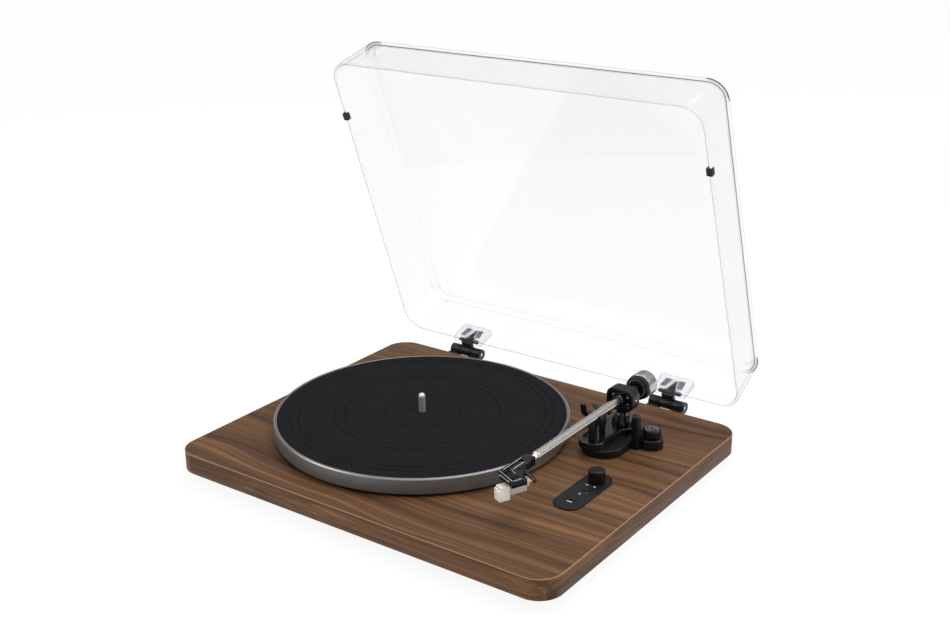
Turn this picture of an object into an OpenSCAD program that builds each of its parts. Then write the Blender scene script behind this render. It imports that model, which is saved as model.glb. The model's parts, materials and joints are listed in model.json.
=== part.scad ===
// Belt-drive record player: a veneered plinth, a die-cast platter, a straight tonearm and a clear
// hinged dust cover. Everything is laid out from the middle of the plinth's top face (the deck) and
// then set on its feet, with the cover standing open.

/* [Plinth] */
// Width of the plinth, side to side
plinth_w = 440; // [430:5:560]
// Depth of the plinth, front to back
plinth_d = 360; // [350:5:460]
// Thickness of the plinth
plinth_t = 21; // [20:0.5:30]
// Plan radius of the plinth's corners
corner_r = 24; // [12:1:40]
// Wood left above the bay routed from below
deck_skin = 5; // [4:0.5:6]
// Height of the rubber feet
foot_h = 12; // [8:1:20]
// Radius of a foot where it meets the plinth
foot_r = 17; // [12:1:20]
// Distance from a foot's middle to the plinth's edges
foot_inset = 52; // [40:1:60]
// Thickness of the bottom cover
cover_t = 2; // [1.5:0.25:3]

/* [Platter] */
// Radius of the platter
platter_r = 150; // [140:1:155]
// Height of the platter's rim
platter_h = 16; // [14:1:24]
// Air between the deck and the platter's rim
platter_gap = 2.6; // [2:0.1:6]
// Space between the platter and the plinth's left edge
side_gap = 22.5; // [15:0.5:40]
// Space between the platter and the plinth's front edge
front_gap = 29; // [20:0.5:60]
// Width of the platter's bare rim round the mat
rim_w = 3.5; // [2:0.25:8]
// Thickness of the rubber mat
mat_t = 2.9; // [2:0.1:4]
// Radius of the centre pin that a record drops over
pin_r = 3.6; // [3.4:0.05:3.7]
// Height of the centre pin above the mat
pin_h = 19.6; // [10:0.2:24]
// Radius of the bearing shaft
shaft_r = 4; // [3:0.25:6]

/* [Drive] */
// Outer radius of the platter's drive ring
drive_r = 71; // [50:1:76]
// Radius of the motor pulley
pulley_r = 6; // [4:0.5:8]
// Distance from the spindle to the motor
motor_dist = 100; // [96:1:118]
// Direction of the motor from the spindle, in degrees
motor_angle = 22; // [0:1:40]
// Radius of the motor
motor_r = 17; // [14:1:20]
// Height of the motor
motor_h = 14; // [10:0.5:14.5]
// Width of the belt
belt_w = 5; // [3:0.5:6]
// Thickness of the belt
belt_t = 0.8; // [0.6:0.1:1.2]

/* [Tonearm] */
// Pivot position to the right of the spindle
pivot_dx = 178; // [176:1:200]
// Pivot position behind the spindle
pivot_dy = 96; // [90:1:110]
// Height of the arm's axis above the deck
arm_z = 43; // [42:0.5:50]
// Radius of the arm tube
tube_r = 4.4; // [3:0.1:5]
// Distance from the pivot to the front end of the tube
tube_reach = 157; // [140:1:170]
// Offset angle of the headshell
head_angle = 24; // [18:1:28]
// Width of the gimbal ring
ring_w = 30; // [26:1:34]
// Height of the gimbal ring
ring_h = 23; // [21:1:25]
// Depth of the gimbal ring, along the arm
ring_d = 14; // [10:1:16]
// Radius of the counterweight
weight_r = 13.3; // [10:0.1:14]
// Length of the counterweight
weight_l = 15; // [10:0.5:20]

/* [Controls] */
// Width of the control panel
panel_w = 28.6; // [24:0.2:34]
// Length of the control panel
panel_l = 79; // [76:1:100]
// Distance from the panel's middle to the plinth's right edge
panel_inset = 59.8; // [55:0.2:70]
// Distance from the panel's middle to the plinth's front edge
panel_front = 153.3; // [140:0.1:160]
// Radius of the speed knob
knob_r = 8; // [6:0.5:10]
// Height of the speed knob above the deck
knob_h = 13.8; // [8:0.2:20]
// Radius of the push buttons
button_r = 4.3; // [3:0.1:5]

/* [Dust cover] */
// How far the cover stands open, in degrees
lid_open = 70.3; // [55:0.1:80]
// Depth of the cover's box
lid_h = 59; // [58.5:0.5:80]
// Thickness of the clear sheet
lid_t = 3; // [2:0.25:4]
// Inset of the cover's rim from the plinth's sides
lid_side_inset = 4.5; // [3:0.5:8]
// Inset of the cover's rim from the plinth's front and back
lid_end_inset = 3.4; // [2.4:0.2:6]
// Gap under the cover's rim when it is shut
lid_gap = 2.5; // [1.5:0.1:4]
// Distance of each hinge from the middle of the plinth
hinge_x = 131; // [100:1:160]
// Radius of the hinge barrel
barrel_r = 6; // [5:0.25:7]

/* [Hidden] */

$fn = 96;
run_fit = 0.05;   // running fit round a shaft, on the radius
air = 0.3;        // air between neighbours that don't touch
slop = 0.4;       // overshoot of a cutting tool
sheet_slip = 0.2; // slip fit round a plate let into a recess

// Spindle, pivot and the rest of the deck's layout, from the middle of the deck
spindle_x = -plinth_w / 2 + side_gap + platter_r;
spindle_y = -plinth_d / 2 + front_gap + platter_r;
pivot_x = spindle_x + pivot_dx;
pivot_y = spindle_y + pivot_dy;
motor_x = spindle_x + motor_dist * cos(motor_angle);
motor_y = spindle_y + motor_dist * sin(motor_angle);
panel_x = plinth_w / 2 - panel_inset;
panel_y = -plinth_d / 2 + panel_front;
dial_x = pivot_x + 34.5;
dial_y = pivot_y - 2;

// Platter heights above the deck
rim_top = platter_gap + platter_h;
mat_floor = rim_top - mat_t + air;
mat_top = mat_floor + mat_t;
web_t = 3.6;
web_under = mat_floor - web_t;
drive_bottom = platter_gap + 1.6;
rim_wall = 6;
mat_r = platter_r - rim_w;

// Belt and pulley
belt_inner = drive_r + air;
belt_z = drive_bottom + 0.9;
pulley_top = web_under - 1;

// Bearing
housing_r = 8;
housing_flange_r = 13;
housing_flange_t = 2;
housing_floor = -17;
ball_r = 2.45;
shaft_end = housing_floor + 2 * ball_r + 2 * run_fit;

// Jack plate on the back
jack_w = 82;
jack_h = 15;
jack_t = 2.5;
jack_x = pivot_x - 75.5;
jack_z = -plinth_t / 2 - 0.5;
jack_y = plinth_d / 2;
rca_x = [jack_x - 30, jack_x - 12];
rca_r = 4.2;
inlet_r = 4.2;
ground_x = jack_x + 4;
switch_x = jack_x + 18;
inlet_x = jack_x + 33;

// Bay routed into the plinth from below: each row is [x0, y0, x1, y1]
bay_right = max(panel_x + 37, pivot_x + 66);
bay_rects = [
    [motor_x - motor_r - 7, motor_y - motor_r - 7, motor_x + motor_r + 7, motor_y + motor_r + 7],
    [motor_x, motor_y - 9, pivot_x - 40, motor_y + 9],
    [pivot_x - 46, panel_y - 50, bay_right, pivot_y + 10],
    [jack_x - jack_w / 2 - 4, pivot_y - 16, jack_x + jack_w / 2 + 6, plinth_d / 2 - 8]];
bay_lip = 5;

// Boards
board_t = 1.6;
board_top = -10.4;
main_board_l = 58;
main_board_w = 52;
main_board_x = pivot_x - 13;
main_board_y = pivot_y - 60;

// Control panel
panel_t = 1.6;
knob_y = panel_y + 23.7;
start_y = panel_y + 4;
stop_y = panel_y - 16.8;
led_x = panel_x + 4.4;
led_y = start_y - 6;
led_r = 1.1;
knob_shaft_r = 3;
knob_bottom = 1.9;
button_under = 0.9;
button_top = 1.9;
button_stem_r = 1.5;
button_travel = 0.8;
stem_end = -6;
tact_top = stem_end - button_travel - 0.1;

// Tonearm base
base_low_t = 8;
base_top = 15;
base_low_w = 43;
base_low_l = 78.5;
base_low_x = pivot_x - 0.6;
base_low_y = pivot_y - 17.3;
base_up_w = 26.7;
base_up_l = 75.5;
base_up_x = pivot_x - 6.4;
base_up_y = pivot_y - 20.8;
boss_r = 14;
pillar_r = 5;
sleeve_r = 8;
dome_bottom = base_top + air;
ring_under = arm_z - ring_h / 2;
ring_r = 8;
ring_wall = 3.5;
ring_y = ring_d / 2;
block_w = ring_w - 2 * ring_wall - 3;
block_h = ring_h - 2 * ring_wall - 4;
block_d = 10;
pivot_pin_r = 1;
neck_r = 3.3;
neck_l = 14;
stub_r = 5;
stub_l = 47;
weight_front = 32.3;
force_front = 26.5;

// Arm rest and cueing lift, placed from the pivot
rest_x = pivot_x - 3.9;
rest_y = pivot_y - 50.5;
rest_r = 4.5;
rest_top = arm_z - tube_r - air;
cue_arc_r = 28.4;
cue_phi = 14;
cue_x = pivot_x - cue_arc_r * sin(cue_phi);
cue_y = pivot_y - cue_arc_r * cos(cue_phi);
cue_top = arm_z - tube_r - 0.4;
cue_deck_t = 1.6;
cue_rod_r = 1.5;
lever_x = pivot_x - 34.5;
lever_y = pivot_y - 2;
lever_z = 16;
lever_w = 5;
lever_shaft_r = 1.6;

// Headshell, placed from the front end of the tube
tube_front = pivot_y - tube_reach;
head_top = arm_z + 3;
plate_t = 2;
head_x = pivot_x + 2.5;
head_y = tube_front - 52.6;
body_top = head_top - plate_t;
mount_pitch = 12.7;
head_screw_r = 1.2;
screw_y = 3.5;
cart_w = 15;
cart_body_w = 11;
cart_front = 3.4;
cart_l = 16.2;
cart_body_h = 15;
guard_w = 10.2;
guard_l = 11.6;
guard_h = 14;
guard_z = body_top - 20;

// Dust cover when shut, from the deck

lid_w = plinth_w - 2 * lid_side_inset;
lid_d = plinth_d - 2 * lid_end_inset;
lid_draft = 3;
lid_edge_r = 8;
lid_top = lid_gap + lid_h;
lid_rim = 0.5;
draft_angle = atan(lid_draft / (lid_h - lid_edge_r - lid_rim));

// Hinges
hinge_y = plinth_d / 2 + 11.4;
hinge_z = 0.7;
hinge_pin_r = 2;
hinge_w = 41;
knuckle_w = 12.5;
bracket_t = 4;
tongue_y = plinth_d / 2 - lid_end_inset + 3.2;
tongue_t = 2.2;
hinge_screw_r = 1.5;
hinge_screw_z = -11;
hinge_screw_spots = [for (s = [-1, 1], k = [-1, 1]) [s * hinge_x + k * 13, hinge_screw_z]];
socket_w = 38;
socket_d = 6.4;
socket_h = 24;
socket_z = lid_gap + 1.5;

// The open cover's furthest point back, and so the middle of the whole footprint
lid_back = hinge_y + (plinth_d / 2 - lid_end_inset - lid_draft - lid_edge_r - hinge_y) * cos(lid_open)
    + (lid_top - lid_edge_r - hinge_z) * sin(lid_open) + lid_edge_r;
middle_y = (lid_back - plinth_d / 2) / 2;
deck_z = foot_h + plinth_t;

// Feet, one near each corner
foot_spots = [for (sx = [-1, 1], sy = [-1, 1])
    [sx * (plinth_w / 2 - foot_inset), sy * (plinth_d / 2 - foot_inset)]];

// Screws round the bottom cover, on its lip
cover_spots = [
    [bay_rects[0][0] - bay_lip / 2, motor_y], [motor_x, bay_rects[0][1] - bay_lip / 2],
    [pivot_x - 20, bay_rects[2][1] - bay_lip / 2], [bay_right - 12, bay_rects[2][1] - bay_lip / 2],
    [bay_right + bay_lip / 2, panel_y], [bay_right + bay_lip / 2, pivot_y - 20],
    [bay_rects[3][0] - bay_lip / 2, pivot_y + 30], [bay_rects[3][2] + bay_lip / 2, pivot_y + 45]];
cover_screw_r = 1.3;
collar_peg_r = 1.5;

// Round grooves in the mat: each row is [middle radius, width]
mat_grooves = [[134, 1], [125.5, 1], [89, 1], [79, 1], [39, 1]];

// Board sizes, and the posts they are screwed to
control_board_w = 26;
control_board_l = panel_l - 8;
post_r = 2.4;
control_posts = [for (sx = [-1, 1], sy = [-1, 1])
    [panel_x + sx * (control_board_w / 2 - 3.3), panel_y + sy * (control_board_l / 2 - 4)]];
main_posts = [for (sx = [-1, 1], sy = [-1, 1])
    [main_board_x + sx * (main_board_w / 2 - 5), main_board_y + sy * (main_board_l / 2 - 5)]];

// ---- Shared shapes ----

// Moves a shape drawn from the deck's middle to the finished frame
module on_deck() { translate([0, -middle_y, deck_z]) children(); }

// Swings a shape drawn with the cover shut to the open cover
module cover_open() {
    on_deck() translate([0, hinge_y, hinge_z]) rotate([-lid_open, 0, 0])
        translate([0, -hinge_y, -hinge_z]) children();
}

// Flat slab with round plan corners, its underside at z = 0
module slab(w, d, t, r) {
    union() {
        translate([-w / 2 + r, -d / 2, 0]) cube([w - 2 * r, d, t]);
        translate([-w / 2, -d / 2 + r, 0]) cube([w, d - 2 * r, t]);
        for (sx = [-1, 1], sy = [-1, 1])
            translate([sx * (w / 2 - r), sy * (d / 2 - r), 0]) cylinder(r = r, h = t);
    }
}

// Slab with round ends along Y
module stadium(w, l, t) {
    union() {
        translate([-w / 2, -l / 2 + w / 2, 0]) cube([w, l - w, t]);
        for (s = [-1, 1]) translate([0, s * (l / 2 - w / 2), 0]) cylinder(r = w / 2, h = t);
    }
}

// Turns a shape that stands along Z to lie along +Y, or along +X
module along_y() { rotate([-90, 0, 0]) children(); }
module along_x() { rotate([0, 90, 0]) children(); }

// Round bar along Y from y0 to y1, and along X from x0 to x1
module bar_y(r, y0, y1) { translate([0, y0, 0]) along_y() cylinder(r = r, h = y1 - y0); }
module bar_x(r, x0, x1) { translate([x0, 0, 0]) along_x() cylinder(r = r, h = x1 - x0); }

// Pan-head screw with a cross slot, its head's underside at z = 0 and its thread downwards
module screw(head_r, head_t, thread_r, thread_l) {
    difference() {
        union() {
            cylinder(r = head_r, h = head_t);
            translate([0, 0, -thread_l]) cylinder(r = thread_r, h = thread_l + slop);
        }
        for (a = [0, 90]) rotate(a) translate([-head_r * 0.6, -0.3, head_t * 0.5])
            cube([head_r * 1.2, 0.6, head_t]);
    }
}

// The routed bay's plan, grown by a lip
module bay(lip, z0, z1) {
    for (b = bay_rects) translate([b[0] - lip, b[1] - lip, z0])
        cube([b[2] - b[0] + 2 * lip, b[3] - b[1] + 2 * lip, z1 - z0]);
}

// ---- Plinth ----

// A bore right through the deck left above the bay
module skin_hole(r) {
    translate([0, 0, -deck_skin - slop]) cylinder(r = r, h = deck_skin + 2 * slop);
}

module plinth() {
    color("#6b4c35") on_deck() difference() {
        translate([0, 0, -plinth_t]) slab(plinth_w, plinth_d, plinth_t, corner_r);
        bay(0, -plinth_t - slop, -deck_skin);
        bay(bay_lip, -plinth_t - slop, -plinth_t + cover_t);
        // spindle bearing, motor boss and pulley
        translate([spindle_x, spindle_y, -plinth_t - slop])
            cylinder(r = housing_r, h = plinth_t + 2 * slop);
        translate([motor_x, motor_y, 0]) skin_hole(pulley_r + 2);
        // tonearm pillar
        translate([pivot_x, pivot_y, 0]) skin_hole(sleeve_r);
        // controls
        translate([panel_x, knob_y, 0]) skin_hole(knob_shaft_r + 1);
        for (y = [start_y, stop_y]) translate([panel_x, y, 0]) skin_hole(button_stem_r + 1);
        translate([led_x, led_y, 0]) skin_hole(led_r + 0.4);
        // jack plate's opening and its shallow seat
        translate([jack_x - jack_w / 2 + 3, jack_y - 9, jack_z - jack_h / 2 + 2])
            cube([jack_w - 6, 9 + slop, jack_h - 4]);
        translate([jack_x - jack_w / 2, jack_y - jack_t, jack_z - jack_h / 2])
            cube([jack_w, jack_t + slop, jack_h]);
        // pilot holes for the feet, the cover and the hinges
        for (s = foot_spots) translate([s[0], s[1], -plinth_t - slop]) cylinder(r = 1.6, h = 12);
        for (s = cover_spots) translate([s[0], s[1], -plinth_t - slop])
            cylinder(r = cover_screw_r, h = 10.4);
        for (s = hinge_screw_spots) translate([s[0], plinth_d / 2 - 12, s[1]])
            bar_y(hinge_screw_r, 0, 12 + slop);
        translate([dial_x, dial_y, 0]) skin_hole(collar_peg_r);
    }
}

module bottom_cover() {
    color("#1d1d1e") on_deck() difference() {
        bay(bay_lip - sheet_slip, -plinth_t, -plinth_t + cover_t);
        for (s = cover_spots) translate([s[0], s[1], -plinth_t - slop])
            cylinder(r = cover_screw_r, h = cover_t + 2 * slop);
    }
}

// Screws that hold the bottom cover and the feet
module base_screws() {
    color("#3a3a3c") on_deck() {
        for (s = cover_spots) translate([s[0], s[1], -plinth_t]) mirror([0, 0, 1])
            screw(2.6, 1.4, cover_screw_r, 8);
        for (s = foot_spots) translate([s[0], s[1], -plinth_t - foot_h + 5]) mirror([0, 0, 1])
            screw(3.4, 1.8, 1.6, 14);
    }
}

module feet() {
    color("#222222") on_deck() for (s = foot_spots) translate([s[0], s[1], -plinth_t - foot_h])
        difference() {
            union() {
                cylinder(r1 = foot_r - 1.5, r2 = foot_r, h = foot_h - 3);
                translate([0, 0, foot_h - 3]) cylinder(r = foot_r, h = 3);
            }
            translate([0, 0, -slop]) cylinder(r = 4.5, h = 5 + slop);
            cylinder(r = 1.6, h = foot_h + slop);
        }
}

// ---- Spindle bearing ----

module bearing_housing() {
    color("#b08d57") on_deck() translate([spindle_x, spindle_y, 0]) difference() {
        union() {
            translate([0, 0, housing_floor - 2]) cylinder(r = housing_r, h = -housing_floor + 2);
            cylinder(r = housing_flange_r, h = housing_flange_t);
        }
        translate([0, 0, housing_floor]) cylinder(r = shaft_r + run_fit, h = 40);
    }
}

module thrust_ball() {
    color("#d8d8dc") on_deck()
        translate([spindle_x, spindle_y, housing_floor + ball_r + run_fit]) sphere(r = ball_r);
}

module spindle() {
    color("#d9d9d6") on_deck() translate([spindle_x, spindle_y, 0]) rotate_extrude() polygon([
        [0, shaft_end], [shaft_r, shaft_end], [shaft_r, mat_floor], [pin_r - slop, mat_floor],
        [pin_r - slop, mat_top + air], [pin_r, mat_top + air], [pin_r, mat_top + pin_h - 3.2],
        [pin_r - 0.5, mat_top + pin_h - 1.4],
        [pin_r - 1.7, mat_top + pin_h - 0.3], [pin_r - 2.6, mat_top + pin_h], [0, mat_top + pin_h]]);
}

// ---- Motor and belt ----

module motor_can() {
    color("#8f9194") on_deck() translate([motor_x, motor_y, 0]) difference() {
        union() {
            translate([0, 0, -deck_skin - motor_h]) cylinder(r = motor_r, h = motor_h);
            translate([0, 0, -deck_skin - slop]) cylinder(r = 4, h = deck_skin - 1);
        }
        translate([0, 0, -deck_skin - motor_h + 1]) cylinder(r = 1 + run_fit, h = motor_h + deck_skin);
    }
}

module motor_shaft() {
    color("#c9c9cc") on_deck() translate([motor_x, motor_y, -deck_skin - motor_h + 1 + run_fit])
        cylinder(r = 1, h = motor_h + deck_skin - 1 + pulley_top - 1);
}

module motor_pulley() {
    color("#c2a25c") on_deck() translate([motor_x, motor_y, 0]) difference() {
        union() {
            translate([0, 0, belt_z - 0.9]) cylinder(r = pulley_r + 1, h = 0.6);
            translate([0, 0, belt_z - 0.3 - slop])
                cylinder(r = pulley_r, h = pulley_top - belt_z + 0.3 + slop);
        }
        cylinder(r = 1, h = pulley_top - 1 + 2 * run_fit);
    }
}

// Loop round the drive ring and the pulley: two arcs joined by straight runs, at an offset out
function belt_path(off) =
    let (ra = belt_inner + off, rb = pulley_r + air + off, t = acos((ra - rb) / motor_dist),
        na = 60, nb = 16, fa = 1 / cos((180 - t) / na), fb = 1 / cos(t / nb))
    concat([for (i = [0 : na]) let (a = t + i * (360 - 2 * t) / na) ra * fa * [cos(a), sin(a)]],
        [for (i = [0 : nb]) let (a = -t + i * 2 * t / nb) [motor_dist, 0] + rb * fb * [cos(a), sin(a)]]);

module drive_belt() {
    color("#1a1a1a") on_deck() translate([spindle_x, spindle_y, belt_z]) rotate(motor_angle)
        difference() {
            linear_extrude(belt_w) polygon(belt_path(belt_t));
            translate([0, 0, -slop]) linear_extrude(belt_w + 2 * slop) polygon(belt_path(0));
        }
}

// ---- Platter ----

module platter() {
    wall_in = platter_r - rim_wall;
    edge = 1;
    color("#55565a") on_deck() translate([spindle_x, spindle_y, 0]) rotate_extrude() polygon([
        [shaft_r, drive_bottom], [14, drive_bottom], [14, web_under], [drive_r - 4, web_under],
        [drive_r - 4, drive_bottom], [drive_r, drive_bottom], [drive_r, web_under],
        [wall_in, web_under], [wall_in, platter_gap], [platter_r - edge, platter_gap],
        [platter_r, platter_gap + edge], [platter_r, rim_top - edge], [platter_r - edge, rim_top],
        [mat_r + 0.1, rim_top], [mat_r + 0.1, mat_floor], [shaft_r, mat_floor]]);
}

module slip_mat() {
    depth = 0.5;
    color("#232325") on_deck() translate([spindle_x, spindle_y, 0]) rotate_extrude() polygon(concat(
        [[pin_r + 0.1, mat_floor], [mat_r, mat_floor], [mat_r, mat_top - 0.6], [mat_r - 0.6, mat_top]],
        [for (g = mat_grooves, k = [0 : 3]) [g[0] + (k < 2 ? 1 : -1) * g[1] / 2,
            mat_top - (k == 1 || k == 2 ? depth : 0)]],
        [[pin_r + 0.1, mat_top]]));
}

// ---- Control panel ----

module control_panel() {
    color("#202426") on_deck() translate([panel_x, panel_y, 0]) difference() {
        stadium(panel_w, panel_l, panel_t);
        translate([0, 0, panel_t - 0.3]) stadium(panel_w - 1.6, panel_l - 1.6, 1);
        translate([0, knob_y - panel_y, -slop]) cylinder(r = knob_shaft_r + 0.6, h = panel_t + 2 * slop);
        for (y = [start_y, stop_y]) translate([0, y - panel_y, -slop])
            cylinder(r = button_r + air, h = panel_t + 2 * slop);
        translate([led_x - panel_x, led_y - panel_y, -slop]) cylinder(r = led_r, h = panel_t + 2 * slop);
    }
}

module power_led() {
    color("#b06a3a") on_deck() translate([led_x, led_y, board_top])
        cylinder(r = led_r, h = panel_t - board_top);
}

module speed_knob() {
    color("#18191a") on_deck() translate([panel_x, knob_y, 0]) union() {
        translate([0, 0, board_top + 0.9]) cylinder(r = knob_shaft_r, h = knob_h - board_top - 3);
        translate([0, 0, knob_bottom]) rotate_extrude() polygon([
            [0, 0], [knob_r, 0], [knob_r, knob_h - knob_bottom - 0.8],
            [knob_r - 0.8, knob_h - knob_bottom], [knob_r - 1.8, knob_h - knob_bottom],
            [knob_r - 2.2, knob_h - knob_bottom - 0.4], [0, knob_h - knob_bottom - 0.4]]);
    }
}

module push_button(y) {
    color("#1c1d1f") on_deck() translate([panel_x, y, 0]) difference() {
        union() {
            translate([0, 0, button_under]) cylinder(r = button_r, h = button_top - button_under);
            translate([0, 0, stem_end]) cylinder(r = button_stem_r, h = button_under - stem_end + slop);
        }
        translate([0, 0, button_top + 11.6]) sphere(r = 12);
    }
}

module start_button() { push_button(start_y); }
module stop_button() { push_button(stop_y); }

// ---- Electronics ----

module board(x, y, w, l, posts) {
    difference() {
        translate([x - w / 2, y - l / 2, board_top - board_t]) cube([w, l, board_t]);
        for (p = posts) translate([p[0], p[1], board_top - board_t - slop])
            cylinder(r = 1.2, h = board_t + 2 * slop);
    }
}

module control_board() {
    color("#2f6b43") on_deck() board(panel_x, panel_y, control_board_w, control_board_l, control_posts);
}

module main_board() {
    color("#2f6b43") on_deck() board(main_board_x, main_board_y, main_board_w, main_board_l, main_posts);
}

module rotary_switch() {
    color("#303236") on_deck() translate([panel_x, knob_y, 0]) difference() {
        translate([-7, -7, board_top]) cube([14, 14, -deck_skin - board_top]);
        translate([0, 0, board_top + 0.8]) cylinder(r = knob_shaft_r + run_fit, h = 12);
    }
}

module tact_switches() {
    color("#3a3c40") on_deck() for (y = [start_y, stop_y]) translate([panel_x, y, board_top]) union() {
        translate([-3, -3, 0]) cube([6, 6, tact_top - board_top - 0.6]);
        cylinder(r = 1.7, h = tact_top - board_top);
    }
}

// Stand-offs under the deck and the larger components on the main board
module board_parts() {
    color("#4a4d52") on_deck() {
        for (p = concat(control_posts, main_posts)) translate([p[0], p[1], board_top])
            cylinder(r = post_r, h = -deck_skin - board_top);
        for (k = [0 : 2]) translate([main_board_x - 14 + 12 * k, main_board_y + 14, board_top])
            cylinder(r = 4, h = 4.6);
        translate([main_board_x - 12, main_board_y - 10, board_top]) cube([14, 10, 2]);
        translate([main_board_x + 8, main_board_y - 14, board_top]) cube([8, 16, 4]);
    }
}

// ---- Back panel ----

module jack_plate() {
    color("#202022") on_deck() difference() {
        translate([jack_x - jack_w / 2 + sheet_slip, jack_y - jack_t, jack_z - jack_h / 2 + sheet_slip])
            cube([jack_w - 2 * sheet_slip, jack_t, jack_h - 2 * sheet_slip]);
        for (x = rca_x) translate([x, jack_y, jack_z]) bar_y(rca_r, -jack_t - slop, slop);
        translate([ground_x, jack_y, jack_z]) bar_y(2, -jack_t - slop, slop);
        translate([inlet_x, jack_y, jack_z]) bar_y(inlet_r, -jack_t - slop, slop);
        translate([switch_x - 4.3, jack_y - jack_t - slop, jack_z - 1.8])
            cube([8.6, jack_t + 2 * slop, 3.6]);
    }
}

// Two phono sockets: a shell round an insulator with its centre bore
module rca_sockets() {
    color("#c8b27a") on_deck() for (x = rca_x) translate([x, jack_y, jack_z]) along_y()
        rotate_extrude() polygon([
            [0, -9], [rca_r, -9], [rca_r, 0], [6, 0], [6, 1.2], [rca_r, 1.2], [rca_r, 8.5], [3.5, 8.5],
            [3.5, 7.5], [1.7, 7.5], [1.7, -6], [0, -6]]);
}

module ground_post() {
    color("#bfc0c3") on_deck() translate([ground_x, jack_y, jack_z]) union() {
        bar_y(2, -7, 8.5);
        bar_y(4, 1.5, 6);
        bar_y(3, 0, 1.5);
    }
}

module dc_inlet() {
    color("#26272a") on_deck() translate([inlet_x, jack_y, jack_z]) union() {
        difference() {
            union() {
                translate([-5, -13, -5]) cube([10, 13 - jack_t, 10]);
                bar_y(inlet_r, -jack_t - slop, 0);
            }
            bar_y(2.75, -10, slop);
        }
        bar_y(1, -10 - slop, -1);
    }
}

module line_switch() {
    color("#e2e2df") on_deck() translate([switch_x - 2, jack_y - jack_t, jack_z - 1.5]) union() {
        cube([2, jack_t + 1.6, 3]);
        translate([-1.9, -1.7, -1]) cube([7.8, 1.4, 5]);
        translate([0, -0.4, 0]) cube([2, 0.6, 3]);
    }
}

// ---- Tonearm base ----

module arm_base_lower() {
    color("#1b1c1e") on_deck() difference() {
        translate([base_low_x, base_low_y, 0]) stadium(base_low_w, base_low_l, base_low_t);
        translate([pivot_x, pivot_y, -slop]) cylinder(r = sleeve_r, h = base_low_t + 2 * slop);
    }
}

module arm_base_upper() {
    color("#1f2022") on_deck() difference() {
        union() {
            translate([base_up_x, base_up_y, base_low_t])
                slab(base_up_w, base_up_l, base_top - base_low_t, 10);
            translate([pivot_x, pivot_y, base_low_t]) cylinder(r = boss_r, h = base_top - base_low_t);
        }
        translate([pivot_x, pivot_y, base_low_t - slop]) cylinder(r = sleeve_r, h = 12);
    }
}

// Sleeve that the arm's pillar turns in, with its nut under the deck
module arm_bearing() {
    color("#b08d57") on_deck() translate([pivot_x, pivot_y, 0]) difference() {
        union() {
            translate([0, 0, board_top]) cylinder(r = sleeve_r, h = base_top - board_top);
            translate([0, 0, board_top + 0.4])
                cylinder(r = sleeve_r + 1.5, h = -deck_skin - board_top - 0.4);
        }
        translate([0, 0, board_top - slop]) cylinder(r = pillar_r + run_fit, h = 40);
    }
}

// ---- Anti-skate ----

module antiskate_bracket() {
    post_x = pivot_x + 23.5;
    post_y = pivot_y - 14;
    color("#1d1e20") on_deck() difference() {
        union() {
            translate([post_x - 3, post_y - 4, 0]) cube([6, 8, 32]);
            translate([post_x, post_y, 32]) bar_x(4, -3, 3);
            translate([post_x, post_y, 0]) rotate(atan2(dial_y - post_y, dial_x - post_x))
                rotate([90, 0, 0]) translate([0, 0, -3]) linear_extrude(6)
                polygon([[0, 0], [0, 24], [3, 23], [5.5, 18], [8, 15.5], [16, 14], [16, 0]]);
        }
        translate([dial_x, dial_y, -slop]) cylinder(r = 9.4 + air, h = 40);
        translate([dial_x, dial_y, -slop]) cylinder(r = 12, h = 10.5 + slop);
        translate([base_low_x, base_low_y, -slop]) stadium(base_low_w, base_low_l, base_low_t + 2 * slop);
    }
}

module antiskate_collar() {
    color("#1b1c1e") on_deck() translate([dial_x, dial_y, 0]) difference() {
        union() {
            cylinder(r = 12, h = 9.7);
            translate([0, 0, 9.7]) cylinder(r1 = 12, r2 = 11.2, h = 0.8);
            translate([0, 0, -deck_skin - 2]) cylinder(r = collar_peg_r, h = deck_skin + 2 + slop);
        }
        translate([0, 0, 4]) cylinder(r = 3 + run_fit, h = 20);
    }
}

module antiskate_dial() {
    ribs = 30;
    color("#151617") on_deck() translate([dial_x, dial_y, 0]) difference() {
        union() {
            translate([0, 0, 10.8]) cylinder(r = 9.2, h = 8.4);
            translate([0, 0, 19.2]) cylinder(r1 = 9.2, r2 = 8.4, h = 0.8);
            translate([0, 0, 4.1]) cylinder(r = 3, h = 7);
        }
        for (i = [0 : ribs - 1]) rotate(i * 360 / ribs) translate([9.35, -0.3, 11.4]) cube([1, 0.6, 7]);
    }
}

// ---- Arm rest and cueing lift ----

module arm_rest() {
    color("#1c1d1f") on_deck() translate([rest_x, rest_y, 0]) union() {
        translate([0, 0, base_top]) cylinder(r = rest_r, h = rest_top - 2 - base_top);
        translate([-3, -2.8, rest_top - 2]) cube([pivot_x - rest_x + tube_r + 3 + air + 1.8, 5.6, 2]);
        translate([pivot_x - rest_x + tube_r + air, -2.8, rest_top - 0.5]) cube([1.8, 5.6, tube_r + 1.5]);
    }
}

module cue_housing() {
    color("#1c1d1f") on_deck() difference() {
        union() {
            translate([cue_x, cue_y, base_top])
                cylinder(r = 3.4, h = cue_top - cue_deck_t - base_top - 4);
            translate([lever_x + lever_w / 2 + air, lever_y - 5, base_low_t + 2])
                cube([base_up_x - base_up_w / 2 - lever_x - lever_w / 2 - air, 10, 11]);
        }
        translate([cue_x, cue_y, base_top + 4]) cylinder(r = cue_rod_r + run_fit, h = 40);
        translate([lever_x, lever_y, lever_z]) bar_x(lever_shaft_r + run_fit, 0, 16);
    }
}

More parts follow.
